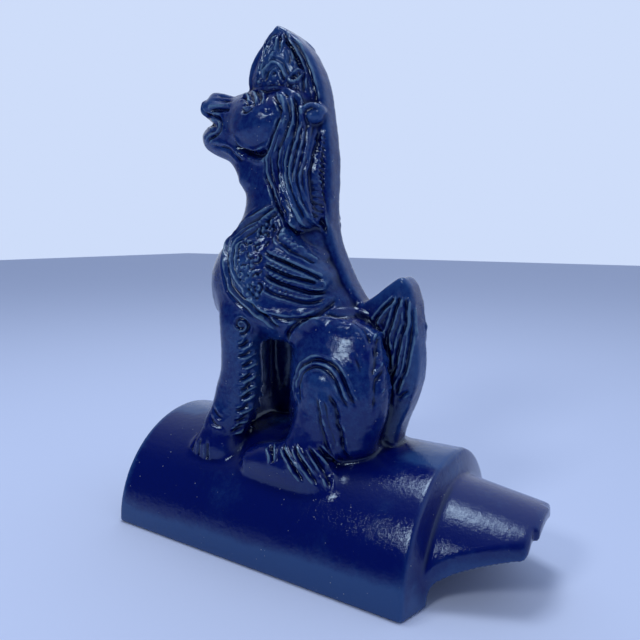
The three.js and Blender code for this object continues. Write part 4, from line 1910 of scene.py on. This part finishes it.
@dataclass(frozen=True)
class Ornament:
    """The one fired piece, from all its sub-assemblies."""

    place: Place = Place()
    glaze: CobaltGlaze = CobaltGlaze()
    parts: tuple[Part, ...] = (
        RidgeTile(),
        Trunk(),
        Foreleg(),
        Hindquarter(),
        Head(),
        Mane(),
        Spine(),
        Wing(),
        Tail(),
    )
    step: float = 0.85
    quick_step: float = 1.5
    melt: int = 1
    crown_melt: int = 8
    crown_full: float = 0.35
    hand: Hand = Hand()
    faces: int = 198_000

    def model(self) -> tuple[np.ndarray, np.ndarray, dict[str, np.ndarray]]:
        """Works the clay and carves it.

        Returns:
            The points in millimetres, the four-sided faces, and what the glaze goes by at each point:
            how far it is "carved" up or down, how sharply the skin stands out there as a "ridge", and
            how far it stands out of the broad forms as a "crown".
        """
        clay = Clay.half_block(self.place, self.step)
        for part in self.parts:
            part.lay(clay)
            LOG.info("laid %s", type(part).__name__)
        whole = clay.mirrored()
        for part in self.parts:
            part.trim(whole)
        whole.soften(self.melt)
        points, faces = split_faces(*whole.skin())
        points = whole.settle(points)
        outward = whole.slope(points)
        outward /= np.linalg.norm(outward, axis=1, keepdims=True) + 1e-9
        carving = Carving(points, outward, self.hand)
        strokes = [stroke for part in self.parts for stroke in part.strokes()]
        for stroke in strokes:
            carving.press(stroke)
        LOG.info("pressed %d strokes into %d points", len(strokes), len(points))
        raised = carving.height + self.hand.roughness(points)
        carved = points + outward * raised[:, None]
        # the crown measure drives the glaze's painted shade in hollows and painted light on forms that stand
        # out
        whole.soften(self.crown_melt)
        crown = whole.read(points) / self.crown_full
        return carved, faces, {"carved": carving.height, "ridge": ridge_of(carved, faces), "crown": crown}

    def build(self) -> bpy.types.Object:
        """Makes the piece's object.

        Returns:
            The object, without its finish.
        """
        points, faces, marks = self.model()
        mesh = bpy.data.meshes.new("ridge_beast")
        mesh.from_pydata(self.place.metres(points), [], faces.tolist())
        for name, values in marks.items():
            layer = mesh.attributes.new(name, "FLOAT", "POINT")
            layer.data.foreach_set("value", values.astype(np.float32))
        mesh.shade_smooth()
        piece = bpy.data.objects.new("ridge_beast", mesh)
        bpy.context.scene.collection.objects.link(piece)
        thin = piece.modifiers.new("thin", "DECIMATE")
        thin.ratio = min(1.0, self.faces / (2 * len(faces)))
        view = bpy.context.evaluated_depsgraph_get()
        final = bpy.data.meshes.new_from_object(piece.evaluated_get(view))
        piece.modifiers.clear()
        piece.data = final
        bpy.data.meshes.remove(mesh)
        final.name = "ridge_beast"
        final.shade_smooth()
        LOG.info("ridge_beast has %d faces", len(final.polygons))
        return piece

    def dress(self, piece: bpy.types.Object) -> None:
        """Gives the piece its glaze and its place in the frame.

        Args:
            piece: The object.
        """
        piece.data.materials.clear()
        piece.data.materials.append(self.glaze.material())
        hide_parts(NODE)
        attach(piece, "root")


def ridge_of(
    points: np.ndarray, faces: np.ndarray, rounds: int = 3, full: float = 0.16, most: float = 1.5
) -> np.ndarray:
    """How sharply the skin stands out at each point.

    Args:
        points: The points, one a row.
        faces: The four-sided faces.
        rounds: How often the points, and then the result, are mixed with their neighbours.
        full: How far a point stands out of its neighbours where the result is 1, in millimetres.
        most: The largest result.

    Returns:
        About 1 on a sharp ridge, 0 where the skin is flat, and about -1 in a sharp fold.
    """
    sides = np.concatenate([faces[:, [i, (i + 1) % 4]] for i in range(4)])
    count = np.bincount(sides[:, 0], minlength=len(points)).astype(float)

    def around(values: np.ndarray) -> np.ndarray:
        """The mean of each point's neighbours."""
        columns = [np.bincount(sides[:, 0], column, len(points)) for column in values[sides[:, 1]].T]
        return np.stack(columns, 1) / np.maximum(count, 1)[:, None]

    across = points[faces[:, 2]] - points[faces[:, 0]]
    along = points[faces[:, 3]] - points[faces[:, 1]]
    normal = np.cross(across, along)
    outward = np.zeros_like(points)
    for corner, axis in product(range(4), range(3)):
        outward[:, axis] += np.bincount(faces[:, corner], normal[:, axis], len(points))
    outward /= np.linalg.norm(outward, axis=1, keepdims=True) + 1e-9
    spread = points
    for _ in range(rounds):
        spread = around(spread)
    bend = ((points - spread) * outward).sum(1)[:, None]
    for _ in range(rounds):
        bend = 0.5 * bend + 0.5 * around(bend)
    return np.clip(bend[:, 0] / full, -most, most)


@dataclass(frozen=True)
class Lamp:
    """A soft square lamp, aimed at the piece."""

    name: str
    seat: tuple[float, float, float]
    size: float
    power: float
    tone: tuple[float, float, float] = (1.0, 1.0, 1.0)


@dataclass(frozen=True)
class Studio:
    """The floor, the light and the camera."""

    place: Place = Place()
    floor: PaleFloor = PaleFloor()
    floor_size: float = 6.0
    lens: float = 34.6
    camera_at: tuple[float, float, float] = (249.6, -254.3, 149.8)
    turn: float = 32.0
    look_down: float = 8.1
    lean: float = 0.2
    wall: Colour = colour(206, 221, 250)
    far_light: Colour = colour(214, 226, 250)
    near_light: Colour = colour(50, 60, 86)
    far_side: tuple[float, float, float] = (0.25, 0.85, 0.22)
    lamps: tuple[Lamp, ...] = (
        Lamp("key_light", (-0.12, -0.78, 0.70), 0.20, 2.6),
        Lamp("top_light", (-0.10, 0.05, 1.1), 0.34, 4.2, (0.92, 0.95, 1.0)),
    )

    def set_up(self) -> None:
        """Makes the floor, the lamps, the sky and the camera."""
        bpy.context.scene.view_settings.view_transform = "Standard"
        self._lay_floor()
        for lamp in self.lamps:
            self._hang(lamp)
        self._paint_sky()
        self._stand_camera()

    def _lay_floor(self) -> None:
        """Lays the floor under the piece."""
        half = self.floor_size / 2
        level = CAD_LOW[2]
        mesh = bpy.data.meshes.new("floor")
        corners = [(-half, -half, level), (half, -half, level), (half, half, level), (-half, half, level)]
        mesh.from_pydata(corners, [], [(0, 1, 2, 3)])
        mesh.materials.append(self.floor.material())
        floor = bpy.data.objects.new("floor", mesh)
        bpy.context.scene.collection.objects.link(floor)
        floor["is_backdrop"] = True
        LOG.info("laid the floor")

    def _hang(self, lamp: Lamp) -> None:
        """Hangs one lamp.

        Args:
            lamp: The lamp.
        """
        light = bpy.data.lights.new(lamp.name, "AREA")
        light.shape = "SQUARE"
        light.size = lamp.size
        light.energy = lamp.power
        light.color = lamp.tone
        stand = bpy.data.objects.new(lamp.name, light)
        seat = Vector(lamp.seat)
        aim = Vector((0.0, 0.0, (CAD_LOW[2] + CAD_HIGH[2]) / 2))
        stand.location = seat
        stand.rotation_euler = (aim - seat).to_track_quat("-Z", "Y").to_euler()
        bpy.context.scene.collection.objects.link(stand)
        LOG.info("hung %s", lamp.name)

    def _paint_sky(self) -> None:
        """Sets the soft light all round, bright from the far side, and the pale wall behind."""
        world = bpy.data.worlds.new("studio")
        bpy.context.scene.world = world
        nodes = Nodes(world)
        way = nodes.add("ShaderNodeTexCoord", output="Generated")
        settings = {"operation": "DOT_PRODUCT"}
        across = nodes.add("ShaderNodeVectorMath", settings, {0: way, 1: self.far_side}, "Value")
        light = nodes.mix(across.eased(-0.5, 0.6), self.near_light, self.far_light)
        seen = nodes.add("ShaderNodeLightPath", output="Is Camera Ray")
        sky = nodes.add("ShaderNodeBackground", {}, {"Color": nodes.mix(seen, light, self.wall)})
        nodes.add("ShaderNodeOutputWorld", {}, {"Surface": sky})

    def _stand_camera(self) -> None:
        """Stands the camera at its viewing angle."""
        data = bpy.data.cameras.new("camera")
        data.lens = self.lens
        data.sensor_width = 36.0
        data.clip_start = 0.01
        camera = bpy.data.objects.new("camera", data)
        turn, down, lean = (math.radians(a) for a in (self.turn, self.look_down, self.lean))
        back = Vector((math.sin(turn) * math.cos(down), -math.cos(turn) * math.cos(down), math.sin(down)))
        right = Vector((math.cos(turn), math.sin(turn), 0.0))
        up = back.cross(right)
        across = math.cos(lean) * right + math.sin(lean) * up
        upright = -math.sin(lean) * right + math.cos(lean) * up
        x, y, z = self.camera_at
        unit = self.place.unit
        at = Vector(((x - self.place.length / 2) * unit, y * unit, z * unit))
        columns = Matrix((across, upright, back)).transposed()
        camera.matrix_world = Matrix.Translation(at) @ columns.to_4x4()
        bpy.context.scene.collection.objects.link(camera)
        bpy.context.scene.camera = camera
        LOG.info("stood the camera")


def main() -> None:
    """Builds and dresses the piece, and sets up the studio."""
    logging.basicConfig(level=logging.INFO, format="%(name)s: %(message)s")
    ornament = Ornament()
    piece = ornament.build()
    ornament.dress(piece)
    Studio().set_up()


if __name__ == "__main__":
    main()
